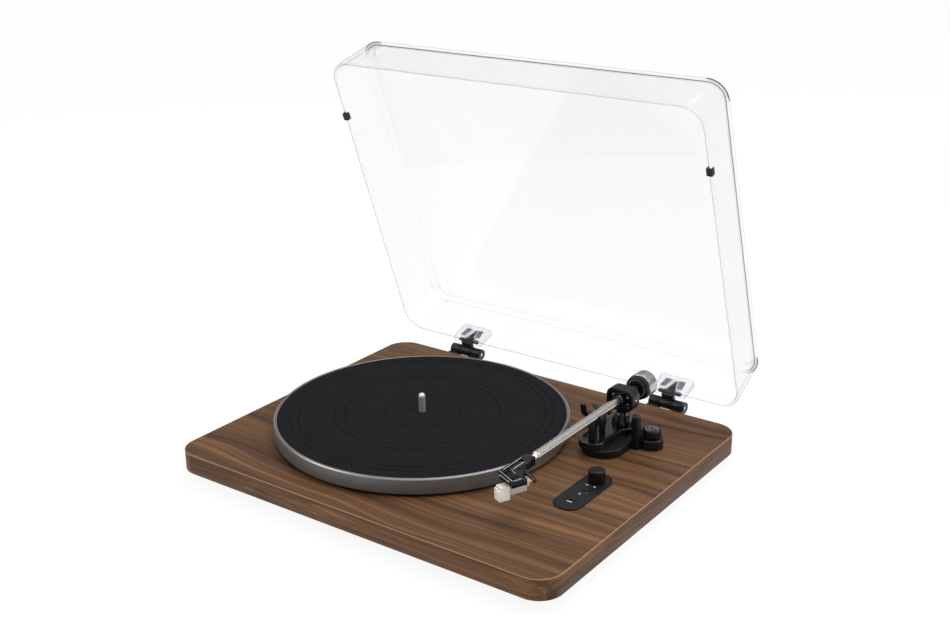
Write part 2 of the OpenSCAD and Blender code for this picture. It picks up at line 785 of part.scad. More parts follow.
module cue_platform() {
    color("#1a1b1d") on_deck() union() {
        translate([cue_x, cue_y, base_top + 8])
            cylinder(r = cue_rod_r, h = cue_top - cue_deck_t - base_top - 8);
        translate([pivot_x, pivot_y, cue_top - cue_deck_t]) rotate([0, 0, -90 - 50])
            rotate_extrude(angle = 56) translate([cue_arc_r - 2.5, 0]) square([5, cue_deck_t]);
    }
}

module cue_lever() {
    sweep_r = 16.1;
    color("#18191a") on_deck() translate([lever_x - lever_w / 2, 0, 0]) union() {
        translate([0, lever_y, lever_z]) bar_x(4, 0, lever_w);
        translate([0, lever_y, lever_z]) bar_x(lever_shaft_r, 0, lever_w + 12);
        translate([0, lever_y, lever_z + sweep_r]) rotate([90, 0, 90]) rotate(-187)
            rotate_extrude(angle = 92) translate([sweep_r - 1.6, 0]) square([3.2, lever_w]);
    }
}

// ---- Tonearm ----

module arm_yoke() {
    color("#17181a") on_deck() translate([pivot_x, pivot_y, 0]) rotate_extrude() polygon([
        [0, board_top + 0.2], [pillar_r, board_top + 0.2], [pillar_r, dome_bottom], [10.5, dome_bottom],
        [10.5, dome_bottom + 1.5], [10, dome_bottom + 4.5], [9, dome_bottom + 8],
        [7.4, dome_bottom + 11.5], [6, dome_bottom + 13], [6, ring_under], [0, ring_under]]);
}

module ring_bar(w, h, l, r) {
    rotate([90, 0, 0]) translate([0, 0, -l / 2]) slab(w, h, l, r);
}

module gimbal_ring() {
    color("#1c1d20") on_deck() translate([pivot_x, pivot_y, arm_z]) difference() {
        ring_bar(ring_w, ring_h, ring_d, ring_r);
        ring_bar(ring_w - 2 * ring_wall, ring_h - 2 * ring_wall, ring_d + 2 * slop, ring_r - ring_wall);
        bar_x(pivot_pin_r + 0.6, -ring_w / 2 - slop, ring_w / 2 + slop);
    }
}

// Pointed screws through the ring's sides that the arm tips on
module gimbal_screws() {
    reach = ring_w / 2 - block_w / 2 + 2;
    color("#b9bbbe") on_deck() translate([pivot_x, pivot_y, arm_z]) for (s = [0, 180]) rotate(s) union() {
        bar_x(pivot_pin_r + 0.6, block_w / 2 + air, ring_w / 2);
        bar_x(pivot_pin_r, ring_w / 2 - reach, block_w / 2 + 2 * air);
    }
}

module gimbal_block() {
    color("#141516") on_deck() translate([pivot_x, pivot_y, arm_z]) difference() {
        translate([-block_w / 2, -block_d / 2, -block_h / 2]) cube([block_w, block_d, block_h]);
        bar_x(pivot_pin_r + run_fit, block_w / 2 - 2.1, block_w);
        bar_x(pivot_pin_r + run_fit, -block_w, -block_w / 2 + 2.1);
        bar_y(tube_r, -block_d, -2);
        bar_y(stub_r - 0.8, 2, block_d);
    }
}

module arm_tube() {
    color("#c9c9c6") on_deck() translate([pivot_x, pivot_y, arm_z]) difference() {
        union() {
            bar_y(tube_r, -tube_reach, -2);
            bar_y(neck_r, -tube_reach - neck_l, -tube_reach + 1);
        }
        bar_y(tube_r - 0.8, -tube_reach + 2, -2 + slop);
        bar_y(neck_r - 1.2, -tube_reach - neck_l - slop, -tube_reach + 3);
    }
}

module rear_stub() {
    color("#1a1a1c") on_deck() translate([pivot_x, pivot_y, arm_z]) union() {
        bar_y(stub_r - 0.8, 2, ring_y + 2);
        bar_y(stub_r, ring_y + 1, stub_l);
    }
}

module counterweight() {
    color("#b4b4b0") on_deck() translate([pivot_x, pivot_y, arm_z]) along_y() rotate_extrude() polygon([
        [stub_r + run_fit, weight_front], [weight_r - 0.8, weight_front],
        [weight_r, weight_front + 0.8], [weight_r, weight_front + weight_l - 1],
        [weight_r - 1, weight_front + weight_l], [stub_r + run_fit, weight_front + weight_l]]);
}

module force_ring() {
    color("#1a1b1d") on_deck() translate([pivot_x, pivot_y, arm_z]) along_y() rotate_extrude() polygon([
        [stub_r + run_fit, force_front], [weight_r - 2.4, force_front], [weight_r - 1, force_front + 1.2],
        [weight_r - 0.9, weight_front - air], [stub_r + run_fit, weight_front - air]]);
}

// ---- Headshell and cartridge ----

// Carries a shape drawn along the cartridge's own axis, which points towards -Y before the turn
module at_head() { on_deck() translate([head_x, head_y, 0]) rotate(-head_angle) children(); }

module headshell() {
    wall = 1.8;
    clamp_x = pivot_x - neck_r - wall;
    clamp_w = 2 * (neck_r + wall);
    front = tube_front - 47;
    color("#1a1b1d") on_deck() difference() {
        union() {
            // top plate, its front edge square to the cartridge
            translate([0, 0, body_top]) linear_extrude(plate_t) polygon([
                [pivot_x - 9, front], [pivot_x + 14, front - 11.2], [pivot_x + 18.5, front - 1],
                [pivot_x + 8, tube_front - 31], [pivot_x + neck_r + wall, tube_front - 12],
                [clamp_x, tube_front - 12]]);
            // clamp round the arm's neck and the side walls
            translate([clamp_x, tube_front - 20, arm_z - 4]) cube([clamp_w, 12, head_top - arm_z + 5.6]);
            translate([clamp_x - 0.6, tube_front - 46, arm_z - 1.5]) cube([wall, 30, 6]);
            translate([pivot_x + neck_r + 0.6, tube_front - 34, arm_z - 1.5]) cube([wall, 18, 6]);
        }
        translate([pivot_x, pivot_y, arm_z]) bar_y(neck_r, -tube_reach - neck_l - air, 0);
        for (s = [-1, 1]) translate([head_x, head_y, 0]) rotate(-head_angle)
            translate([s * mount_pitch / 2 - head_screw_r, screw_y - 5, body_top - slop])
            cube([2 * head_screw_r, 12, plate_t + 2 * slop]);
    }
}

module headshell_screws() {
    color("#c6c7c9") at_head() for (s = [-1, 1]) translate([s * mount_pitch / 2, screw_y, head_top])
        screw(2.2, 1.2, head_screw_r, plate_t + 3);
}

module finger_lift() {
    blade = 1.2;
    color("#17181a") on_deck() translate([pivot_x + 6.2, tube_front - 33, body_top - blade])
        rotate([90, 0, 0]) translate([0, 0, -2]) linear_extrude(4) polygon([
            [0, 0], [6, 0], [9.5, -0.6], [12.5, -2.4], [15, -6], [16.2, -5.4], [13.6, -1.4],
            [10.2, 0.6], [6.3, blade], [0, blade]]);
}

module cartridge_body() {
    color("#55585a") at_head() difference() {
        union() {
            translate([-cart_w / 2, screw_y - 4.5, body_top - 3.5]) cube([cart_w, 9, 3.5]);
            translate([-cart_body_w / 2, cart_front, body_top - cart_body_h])
                cube([cart_body_w, cart_l, cart_body_h - 2.8]);
        }
        for (s = [-1, 1]) translate([s * mount_pitch / 2, screw_y, body_top - 3.5 - slop])
            cylinder(r = head_screw_r, h = 5);
    }
}

// Terminal block and contact pins at the back of the cartridge
module cartridge_pins() {
    color("#d9c9a6") at_head() translate([0, cart_front + cart_l, body_top - 10]) union() {
        translate([-5, 0, 0]) cube([11.5, 2, 5]);
        for (i = [0 : 3]) translate([-3.6 + 2.6 * i, 1, 2.5]) bar_y(0.7, 0, 4.5);
    }
}

// Clear guard over the stylus, open below and behind
module stylus_guard() {
    wall = 1;
    front = cart_front - guard_l;
    color("#e9e6df") at_head() difference() {
        translate([-guard_w / 2, front, guard_z]) cube([guard_w, guard_l - air, guard_h]);
        translate([-guard_w / 2 + wall, front + wall, guard_z - slop])
            cube([guard_w - 2 * wall, guard_l, guard_h - wall]);
    }
}

module stylus() {
    color("#d8d2c4") at_head() translate([0, cart_front, body_top - cart_body_h]) union() {
        translate([-3, -4, 2]) cube([6, 4, 5]);
        translate([0, -3, 3]) rotate([126, 0, 0]) cylinder(r = 0.5, h = 6.5);
    }
}

// ---- Hinges ----

module hinge_brackets() {
    color("#1a1b1d") on_deck() for (s = [-1, 1]) translate([s * hinge_x, 0, 0]) difference() {
        union() {
            translate([-hinge_w / 2, plinth_d / 2, -18.5]) cube([hinge_w, bracket_t, 14]);
            for (k = [-1, 1]) translate([k * (hinge_w - knuckle_w) / 2 - knuckle_w / 2, 0, 0]) union() {
                translate([0, hinge_y, hinge_z]) bar_x(barrel_r, 0, knuckle_w);
                translate([0, plinth_d / 2 + 0.5, -5]) cube([knuckle_w, hinge_y - plinth_d / 2, 4.5]);
            }
        }
        translate([0, hinge_y, hinge_z]) bar_x(hinge_pin_r, -hinge_w / 2 - slop, hinge_w / 2 + slop);
        for (k = [-1, 1]) translate([k * 13, plinth_d / 2, hinge_screw_z])
            bar_y(hinge_screw_r, -slop, bracket_t + slop);
    }
}

module hinge_pins() {
    color("#6a6b6e") on_deck() for (s = [-1, 1]) translate([s * hinge_x, hinge_y, hinge_z])
        bar_x(hinge_pin_r, -hinge_w / 2 + 0.5, hinge_w / 2 - 0.5);
}

module hinge_screws() {
    color("#3a3a3c") on_deck() for (s = hinge_screw_spots)
        translate([s[0], plinth_d / 2 + bracket_t, s[1]]) rotate([-90, 0, 0])
            screw(2.6, 1.4, hinge_screw_r, 14);
}

// Turning knuckle and the tapered tongue that slides up into the cover's clear socket
module hinge_tongues() {
    mid_w = hinge_w - 2 * knuckle_w - 2 * air;
    color("#1a1b1d") cover_open() for (s = [-1, 1]) translate([s * hinge_x, 0, 0]) difference() {
        union() {
            translate([0, hinge_y, hinge_z]) bar_x(barrel_r, -mid_w / 2, mid_w / 2);
            translate([-mid_w / 2 + 1, tongue_y, hinge_z + 0.6])
                cube([mid_w - 2, hinge_y - tongue_y, 4.4]);
            translate([0, tongue_y + tongue_t, 0]) rotate([90, 0, 0]) linear_extrude(tongue_t) polygon([
                [-7, hinge_z + 1], [-7, hinge_z + 5.6], [-13, hinge_z + 5.6], [-13, hinge_z + 7.6],
                [-7.6, hinge_z + 7.8], [-5, hinge_z + 10], [-1.2, hinge_z + 24], [1.2, hinge_z + 24],
                [5, hinge_z + 10], [7.6, hinge_z + 7.8], [13, hinge_z + 7.6], [13, hinge_z + 5.6],
                [7, hinge_z + 5.6], [7, hinge_z + 1]]);
        }
        translate([0, hinge_y, hinge_z]) bar_x(hinge_pin_r + run_fit, -hinge_w, hinge_w);
    }
}

// ---- Dust cover ----

// The cover's outer or inner shape: straight rim, drafted sides and a rounded top edge
module cover_shape(inset, bottom) {
    r = corner_r - inset;
    edge = max(lid_edge_r - inset, 1);
    top_r = r - lid_draft;
    w = lid_w / 2 - inset;
    d = lid_d / 2 - inset;
    hull() for (sx = [-1, 1], sy = [-1, 1]) {
        translate([sx * (w - r), sy * (d - r), bottom]) cylinder(r = r, h = lid_rim, $fn = 48);
        translate([sx * (w - lid_draft - top_r), sy * (d - lid_draft - top_r), lid_top - inset - edge])
            rotate_extrude($fn = 48) translate([top_r - edge, 0]) intersection() {
                circle(r = edge, $fn = 32);
                square(edge);
            }
    }
}

module lid_shell() {
    color([0.95, 0.97, 0.99, 0.35]) cover_open() difference() {
        cover_shape(0, lid_gap);
        cover_shape(lid_t, lid_gap - 1);
    }
}

// Clear pockets on the cover's back wall, open below for the tongues
module hinge_sockets() {
    wall_y = plinth_d / 2 - lid_end_inset;
    color([0.92, 0.95, 0.97, 0.5]) cover_open() for (s = [-1, 1])
        translate([s * hinge_x, 0, 0]) difference() {
        translate([-socket_w / 2, wall_y - 2, socket_z]) cube([socket_w, socket_d + 2, socket_h]);
        // trimmed flush to the drafted back wall
        translate([-socket_w, wall_y, lid_gap + lid_rim]) rotate([draft_angle, 0, 0])
            translate([0, -20, -10]) cube([2 * socket_w, 20, 60]);
        // slot that fits the tongue
        translate([-13 - air, tongue_y - air / 2, socket_z - slop])
            cube([26 + 2 * air, tongue_t + air, 6.4]);
        translate([-8, tongue_y - air / 2, socket_z]) cube([16, tongue_t + air, 22]);
        translate([-8, tongue_y, socket_z - slop]) cube([16, socket_d, 2.4]);
    }
}

// Rubber blocks clipped over the rim's sides near the front
module lid_bumpers() {
    bumper_l = 8;
    bumper_w = 6;
    y = -lid_d / 2 + 66;
    color("#161617") cover_open() for (s = [-1, 1]) translate([s * (lid_w / 2 - lid_t / 2), y, 0.2])
        difference() {
            translate([-bumper_w / 2, -bumper_l / 2, 0]) cube([bumper_w, bumper_l, 5.6]);
            translate([-lid_t / 2 - air, -bumper_l, lid_gap - 0.2])
                cube([lid_t + 2 * air, 2 * bumper_l, 6]);
        }
}

// ---- The pieces ----

plinth();
bottom_cover();
base_screws();
feet();
bearing_housing();
thrust_ball();
motor_can();
motor_shaft();
motor_pulley();
drive_belt();
platter();
slip_mat();
spindle();
control_panel();
power_led();
speed_knob();
start_button();
stop_button();
control_board();
rotary_switch();
tact_switches();
main_board();
board_parts();
jack_plate();
rca_sockets();
ground_post();
dc_inlet();
line_switch();
arm_base_lower();
arm_base_upper();
arm_bearing();
antiskate_bracket();
antiskate_collar();
antiskate_dial();
arm_rest();
cue_housing();
cue_platform();
cue_lever();
arm_yoke();
gimbal_ring();
gimbal_screws();
gimbal_block();
arm_tube();
rear_stub();
headshell();
headshell_screws();
finger_lift();
cartridge_body();
cartridge_pins();
stylus_guard();
stylus();
counterweight();
force_ring();
hinge_brackets();
hinge_pins();
hinge_screws();
hinge_tongues();
hinge_sockets();
lid_shell();
lid_bumpers();
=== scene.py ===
"""Turntable record player: the finished looks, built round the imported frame."""

import json
import math

import bmesh
import bpy
from mathutils import Matrix, Vector

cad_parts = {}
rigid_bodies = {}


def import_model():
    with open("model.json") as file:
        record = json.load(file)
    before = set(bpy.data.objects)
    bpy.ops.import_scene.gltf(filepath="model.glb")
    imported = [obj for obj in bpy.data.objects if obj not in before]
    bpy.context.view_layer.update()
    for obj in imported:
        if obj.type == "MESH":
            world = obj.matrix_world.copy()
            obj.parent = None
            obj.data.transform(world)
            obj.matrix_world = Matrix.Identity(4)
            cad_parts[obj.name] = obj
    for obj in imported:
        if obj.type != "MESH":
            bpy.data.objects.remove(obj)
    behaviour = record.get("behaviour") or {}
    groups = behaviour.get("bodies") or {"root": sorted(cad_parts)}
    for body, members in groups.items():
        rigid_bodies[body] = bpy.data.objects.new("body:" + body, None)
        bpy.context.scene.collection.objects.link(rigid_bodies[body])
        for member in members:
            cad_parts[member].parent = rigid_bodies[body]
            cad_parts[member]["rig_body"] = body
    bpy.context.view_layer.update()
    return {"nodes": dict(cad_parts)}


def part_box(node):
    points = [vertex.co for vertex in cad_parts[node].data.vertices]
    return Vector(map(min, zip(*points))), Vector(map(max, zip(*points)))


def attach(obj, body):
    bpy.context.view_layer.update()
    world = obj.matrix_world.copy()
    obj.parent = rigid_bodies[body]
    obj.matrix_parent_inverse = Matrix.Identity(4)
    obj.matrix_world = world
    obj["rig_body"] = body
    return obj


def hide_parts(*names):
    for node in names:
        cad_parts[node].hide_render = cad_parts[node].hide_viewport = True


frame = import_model()

# ---- Measures ----
# Shapes are drawn in millimetres from the middle of the plinth's top face, and
# moved into the row frame, in metres, when their mesh is made.

MM = 0.001
plinth_low, plinth_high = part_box("plinth")
DECK = Vector(((plinth_low.x + plinth_high.x) / 2, (plinth_low.y + plinth_high.y) / 2, plinth_high.z))


def span(node):
    """Lowest and highest corner of a frame node, in deck millimetres."""
    low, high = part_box(node)
    return (low - DECK) / MM, (high - DECK) / MM


def middle(node):
    low, high = span(node)
    return (low + high) / 2


def in_frame(point):
    return DECK + Vector(point) * MM


# ---- Shapes: (points, faces) in millimetres ----


def move(shape, x=0.0, y=0.0, z=0.0):
    points, faces = shape
    return [(p[0] + x, p[1] + y, p[2] + z) for p in points], faces


def turn(shape, degrees, axis="Z", about=(0, 0, 0)):
    points, faces = shape
    away, back = Matrix.Translation(-Vector(about)), Matrix.Translation(about)
    spin = back @ Matrix.Rotation(math.radians(degrees), 4, axis) @ away
    return [tuple(spin @ Vector(p)) for p in points], faces


def join(*shapes):
    points, faces = [], []
    for shape_points, shape_faces in shapes:
        base = len(points)
        points += shape_points
        faces += [[base + i for i in f] for f in shape_faces]
    return points, faces


def along_x(shape):
    """Drawn in (y, z) and thick in x."""
    points, faces = shape
    return [(p[2], p[0], p[1]) for p in points], faces


def along_y(shape):
    """Drawn in (x, z) and thick in y."""
    points, faces = shape
    return [(p[0], p[2], p[1]) for p in points], [f[::-1] for f in faces]


def round_rect(width, depth, radius, steps=8):
    """Outline with round corners, from the corner at +x +y round to -x."""
    radius = min(radius, width / 2 - 1e-4, depth / 2 - 1e-4)
    outline = []
    for corner, (sx, sy) in enumerate([(1, 1), (-1, 1), (-1, -1), (1, -1)]):
        for i in range(steps + 1):
            a = math.radians(90 * (corner + i / steps))
            outline.append((sx * (width / 2 - radius) + radius * math.cos(a),
                            sy * (depth / 2 - radius) + radius * math.sin(a)))
    return outline


def circle(radius, steps=64):
    return [(radius * math.cos(2 * math.pi * i / steps), radius * math.sin(2 * math.pi * i / steps))
            for i in range(steps)]


def inset(outline, distance):
    """The outline moved inwards, each corner along its own bisector."""
    count, moved = len(outline), []
    for i, (x, y) in enumerate(outline):
        ax, ay = outline[i - 1]
        bx, by = outline[(i + 1) % count]
        n1 = Vector((y - ay, ax - x)).normalized()
        n2 = Vector((by - y, x - bx)).normalized()
        both = n1 + n2
        if both.length < 1e-6:
            both = n1
        both.normalize()
        reach = distance / max(both.dot(n1), 0.35)
        moved.append((x - both.x * reach, y - both.y * reach))
    return moved


def loft(loops, closed=False):
    """Skin over loops that have the same number of points."""
    count = len(loops[0])
    points = [p for loop in loops for p in loop]
    faces = []
    pairs = len(loops) if closed else len(loops) - 1
    for k in range(pairs):
        a, b = k * count, ((k + 1) % len(loops)) * count
        for i in range(count):
            j = (i + 1) % count
            faces.append([a + i, a + j, b + j, b + i])
    if not closed:
        faces.append(list(range(count))[::-1])
        faces.append([(len(loops) - 1) * count + i for i in range(count)])
    return points, faces


def edge_steps(edge, steps=3):
    """(how far in, how far up) round a quarter of an edge."""
    return [(edge * (1 - math.sin(math.pi / 2 * i / steps)), edge * (1 - math.cos(math.pi / 2 * i / steps)))
            for i in range(steps + 1)]


def prism(outline, low, high, edge=0.5, lower_edge=None, steps=3):
    """Upright solid on an outline, with rounded top and bottom edges."""
    lower_edge = edge if lower_edge is None else lower_edge
    loops = [[(x, y, low + up) for x, y in inset(outline, into)]
             for into, up in edge_steps(lower_edge, steps)]
    loops += [[(x, y, high - up) for x, y in inset(outline, into)]
              for into, up in reversed(edge_steps(edge, steps))]
    return loft(loops)


def window(outer, inner, low, high, edge=0.5, steps=3):
    """Upright frame between two outlines, all its edges rounded."""
    rising = edge_steps(edge, steps)
    loops = [[(x, y, low + up) for x, y in inset(outer, into)] for into, up in rising]
    loops += [[(x, y, high - up) for x, y in inset(outer, into)] for into, up in reversed(rising)]
    loops += [[(x, y, high - up) for x, y in inset(inner, -into)] for into, up in rising]
    loops += [[(x, y, low + up) for x, y in inset(inner, -into)] for into, up in reversed(rising)]
    return loft(loops, closed=True)


def block(low, high, edge=0.4):
    width, depth = high[0] - low[0], high[1] - low[1]
    return move(prism(round_rect(width, depth, edge, 3), low[2], high[2], edge),
                (low[0] + high[0]) / 2, (low[1] + high[1]) / 2, 0)


def soften(corners, closed=False, steps=4):
    """Rounds a line's corners; each corner is (x, y) or (x, y, radius)."""
    count, line = len(corners), []
    for i, corner in enumerate(corners):
        here, radius = Vector(corner[:2]), corner[2] if len(corner) > 2 else 0
        if radius <= 0 or (not closed and i in (0, count - 1)):
            line.append(tuple(here))
            continue
        before, after = Vector(corners[i - 1][:2]), Vector(corners[(i + 1) % count][:2])
        one, two = (before - here).normalized(), (after - here).normalized()
        half = one.angle(two) / 2
        back = min(radius / math.tan(half), (before - here).length * 0.49, (after - here).length * 0.49)
        start, end = here + one * back, here + two * back
        for k in range(steps + 1):
            t = k / steps
            line.append(tuple(start * (1 - t) ** 2 + here * 2 * t * (1 - t) + end * t * t))
    return line


def lathe(corners, steps=96, closed=False):
    """Turned solid: a line of (radius, height) swept round the z axis."""
    line = soften(corners, closed)
    if not closed and line[0][0] > 1e-6:
        line = [(0, line[0][1])] + line
    if not closed and line[-1][0] > 1e-6:
        line = line + [(0, line[-1][1])]
    rings = line if closed else line[1:-1]
    points = [(r * math.cos(2 * math.pi * i / steps), r * math.sin(2 * math.pi * i / steps), z)
              for r, z in rings for i in range(steps)]
    faces = []
    for k in range(len(rings) if closed else len(rings) - 1):
        a, b = k * steps, ((k + 1) % len(rings)) * steps
        for i in range(steps):
            j = (i + 1) % steps
            faces.append([a + i, a + j, b + j, b + i])
    if not closed:
        points += [(0, 0, line[0][1]), (0, 0, line[-1][1])]
        first, last, top = len(points) - 2, len(points) - 1, (len(rings) - 1) * steps
        for i in range(steps):
            j = (i + 1) % steps
            faces.append([first, j, i])
            faces.append([last, top + i, top + j])
    return points, faces


# ---- Meshes ----


def mesh_object(name, shape, material, sharp=38, in_deck=True):
    """A plain mesh object at the origin, its normals outwards and its hard edges kept sharp."""
    points, faces = shape
    mesh = bpy.data.meshes.new(name)
    mesh.from_pydata([in_frame(p) if in_deck else Vector(p) * MM for p in points], [], faces)
    obj = bpy.data.objects.new(name, mesh)
    bpy.context.scene.collection.objects.link(obj)
    tidy_mesh(obj, sharp)
    mesh.materials.append(material)
    return obj


def shade_smooth(made, sharp):
    """Smooth faces, with the edges that turn more than so many degrees kept sharp."""
    for face in made.faces:
        face.smooth = True
    for edge in made.edges:
        edge.smooth = len(edge.link_faces) != 2 or edge.calc_face_angle(0) < math.radians(sharp)


def tidy_mesh(obj, sharp=38):
    """Merges doubled points, turns the faces outwards and sets the shading."""
    made = bmesh.new()
    made.from_mesh(obj.data)
    bmesh.ops.remove_doubles(made, verts=made.verts, dist=1e-7)
    bmesh.ops.dissolve_degenerate(made, dist=1e-8, edges=made.edges)
    bmesh.ops.recalc_face_normals(made, faces=made.faces)
    shade_smooth(made, sharp)
    made.to_mesh(obj.data)
    made.free()


def plain_mesh(obj):
    """Turns an object's modifiers into its own mesh."""
    graph = bpy.context.evaluated_depsgraph_get()
    mesh = bpy.data.meshes.new_from_object(obj.evaluated_get(graph))
    obj.modifiers.clear()
    old, obj.data = obj.data, mesh
    if old.users == 0:
        bpy.data.meshes.remove(old)


def carve(obj, *cutters, operation="DIFFERENCE"):
    """Cuts shapes, or other objects, out of a piece, or adds them or keeps only what they share."""
    made = []
    for cutter in cutters:
        if not isinstance(cutter, bpy.types.Object):
            cutter = mesh_object(obj.name + "_cutter", cutter, obj.data.materials[0])
        made.append(cutter)
        cut = obj.modifiers.new("cut", "BOOLEAN")
        cut.operation = operation
        cut.object = cutter
        cut.solver = "MANIFOLD"
    bpy.context.view_layer.update()
    plain_mesh(obj)
    for cutter in made:
        bpy.data.objects.remove(cutter)
    tidy_mesh(obj)
    return obj


def dress(obj, *nodes):
    """The piece stands for these frame nodes and moves with their body."""
    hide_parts(*nodes)
    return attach(obj, frame["nodes"][nodes[0]]["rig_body"])


def belongs(obj, node):
    """A small extra on a piece: it moves with that node's body."""
    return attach(obj, frame["nodes"][node]["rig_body"])


def coat(node, material):
    """A frame node that shows as it is, in a finish of its own."""
    mesh = frame["nodes"][node].data
    mesh.materials.clear()
    mesh.materials.append(material)


def rounded_copy(name, node, material, edge=0.3, steps=2):
    """A frame node's own shape with its triangles merged and its hard edges rounded over."""
    source = frame["nodes"][node]
    mesh = source.data.copy()
    mesh.transform(source.matrix_world)
    mesh.materials.clear()
    mesh.materials.append(material)
    obj = bpy.data.objects.new(name, mesh)
    bpy.context.scene.collection.objects.link(obj)
    made = bmesh.new()
    made.from_mesh(mesh)
    bmesh.ops.remove_doubles(made, verts=made.verts, dist=2e-6)
    bmesh.ops.dissolve_limit(made, angle_limit=math.radians(1.5), verts=made.verts, edges=made.edges)
    bmesh.ops.recalc_face_normals(made, faces=made.faces)
    made.to_mesh(mesh)
    made.free()
    if edge > 0:
        bevel = obj.modifiers.new("edge", "BEVEL")
        bevel.width = edge * MM
        bevel.segments = steps
        bevel.limit_method = "ANGLE"
        bevel.angle_limit = math.radians(40)
        bpy.context.view_layer.update()
        plain_mesh(obj)
    made = bmesh.new()
    made.from_mesh(obj.data)
    shade_smooth(made, 35)
    made.to_mesh(obj.data)
    made.free()
    return obj


# ---- Repeated pieces: geometry trees ----


def new_tree(name, inputs):
    """A geometry tree with named inputs; gives back the tree and its input and output nodes."""
    tree = bpy.data.node_groups.new(name, "GeometryNodeTree")
    tree.interface.new_socket("Geometry", in_out="INPUT", socket_type="NodeSocketGeometry")
    for label, kind in inputs:
        tree.interface.new_socket(label, in_out="INPUT", socket_type=kind)
    tree.interface.new_socket("Geometry", in_out="OUTPUT", socket_type="NodeSocketGeometry")
    return tree, tree.nodes.new("NodeGroupInput"), tree.nodes.new("NodeGroupOutput")


def end_tree(tree, given, result, instances):
    """Every tree ends the same way: real copies, then their finish."""
    real = tree.nodes.new("GeometryNodeRealizeInstances")
    finish = tree.nodes.new("GeometryNodeSetMaterial")
    tree.links.new(instances, real.inputs["Geometry"])
    tree.links.new(real.outputs["Geometry"], finish.inputs["Geometry"])
    tree.links.new(given.outputs["Finish"], finish.inputs["Material"])
    tree.links.new(finish.outputs["Geometry"], result.inputs["Geometry"])


def spots_tree():
    """One copy of the piece on each point, turned as the point's own angle says."""
    tree, given, result = new_tree("copies_on_spots", [
        ("Piece", "NodeSocketObject"), ("Finish", "NodeSocketMaterial")])
    piece = tree.nodes.new("GeometryNodeObjectInfo")
    angle = tree.nodes.new("GeometryNodeInputNamedAttribute")
    angle.data_type = "FLOAT_VECTOR"
    angle.inputs["Name"].default_value = "angle"
    copies = tree.nodes.new("GeometryNodeInstanceOnPoints")
    tree.links.new(given.outputs["Piece"], piece.inputs["Object"])
    tree.links.new(given.outputs["Geometry"], copies.inputs["Points"])
    tree.links.new(piece.outputs["Geometry"], copies.inputs["Instance"])
    tree.links.new(angle.outputs["Attribute"], copies.inputs["Rotation"])
    end_tree(tree, given, result, copies.outputs["Instances"])
    return tree


def ring_tree():
    """Copies of the piece evenly round a circle or part of one, each turned to face outwards."""
    tree, given, result = new_tree("copies_round_ring", [
        ("Piece", "NodeSocketObject"), ("Finish", "NodeSocketMaterial"), ("Count", "NodeSocketInt"),
        ("Radius", "NodeSocketFloat"), ("Sweep", "NodeSocketFloat")])
    piece = tree.nodes.new("GeometryNodeObjectInfo")
    line = tree.nodes.new("GeometryNodeMeshLine")
    index = tree.nodes.new("GeometryNodeInputIndex")
    share = tree.nodes.new("ShaderNodeMath")
    share.operation = "DIVIDE"
    angle = tree.nodes.new("ShaderNodeMath")
    angle.operation = "MULTIPLY"
    spin = tree.nodes.new("ShaderNodeCombineXYZ")
    reach = tree.nodes.new("ShaderNodeCombineXYZ")
    place = tree.nodes.new("ShaderNodeVectorRotate")
    place.rotation_type = "Z_AXIS"
    spread = tree.nodes.new("GeometryNodeSetPosition")
    copies = tree.nodes.new("GeometryNodeInstanceOnPoints")
    link = tree.links.new
    link(given.outputs["Count"], line.inputs["Count"])
    link(index.outputs["Index"], share.inputs[0])
    link(given.outputs["Count"], share.inputs[1])
    link(share.outputs[0], angle.inputs[0])
    link(given.outputs["Sweep"], angle.inputs[1])
    link(angle.outputs[0], spin.inputs["Z"])
    link(given.outputs["Radius"], reach.inputs["X"])
    link(reach.outputs[0], place.inputs["Vector"])
    link(angle.outputs[0], place.inputs["Angle"])
    link(line.outputs["Mesh"], spread.inputs["Geometry"])
    link(place.outputs[0], spread.inputs["Position"])
    link(given.outputs["Piece"], piece.inputs["Object"])
    link(spread.outputs["Geometry"], copies.inputs["Points"])
    link(piece.outputs["Geometry"], copies.inputs["Instance"])
    link(spin.outputs[0], copies.inputs["Rotation"])
    end_tree(tree, given, result, copies.outputs["Instances"])
    return tree


on_spots = spots_tree()
round_ring = ring_tree()


def grow(name, tree, mesh, settings, place=None):
    """Runs a geometry tree on a mesh and keeps the result as a plain mesh in the row frame."""
    obj = bpy.data.objects.new(name, mesh)
    bpy.context.scene.collection.objects.link(obj)
    modifier = obj.modifiers.new("copies", "NODES")
    modifier.node_group = tree
    sockets = {s.name: s.identifier for s in tree.interface.items_tree
               if s.item_type == "SOCKET" and s.in_out == "INPUT"}
    for label, value in settings.items():
        modifier[sockets[label]] = value
    bpy.context.view_layer.update()
    plain_mesh(obj)
    if place is not None:
        obj.data.transform(place)
    tidy_mesh(obj)
    return obj


def on_points(name, shape, spots, material):
    """Copies of a shape, drawn round the origin, on spots (x, y, z, turn x, y, z) in deck millimetres."""
    piece = mesh_object(name + "_one", shape, material, in_deck=False)
    mesh = bpy.data.meshes.new(name)
    mesh.from_pydata([in_frame(s[:3]) for s in spots], [], [])
    angle = mesh.attributes.new("angle", "FLOAT_VECTOR", "POINT")
    for i, spot in enumerate(spots):
        angle.data[i].vector = [math.radians(a) for a in (list(spot[3:]) + [0, 0, 0])[:3]]
    obj = grow(name, on_spots, mesh, {"Piece": piece, "Finish": material})
    bpy.data.objects.remove(piece)
    return obj


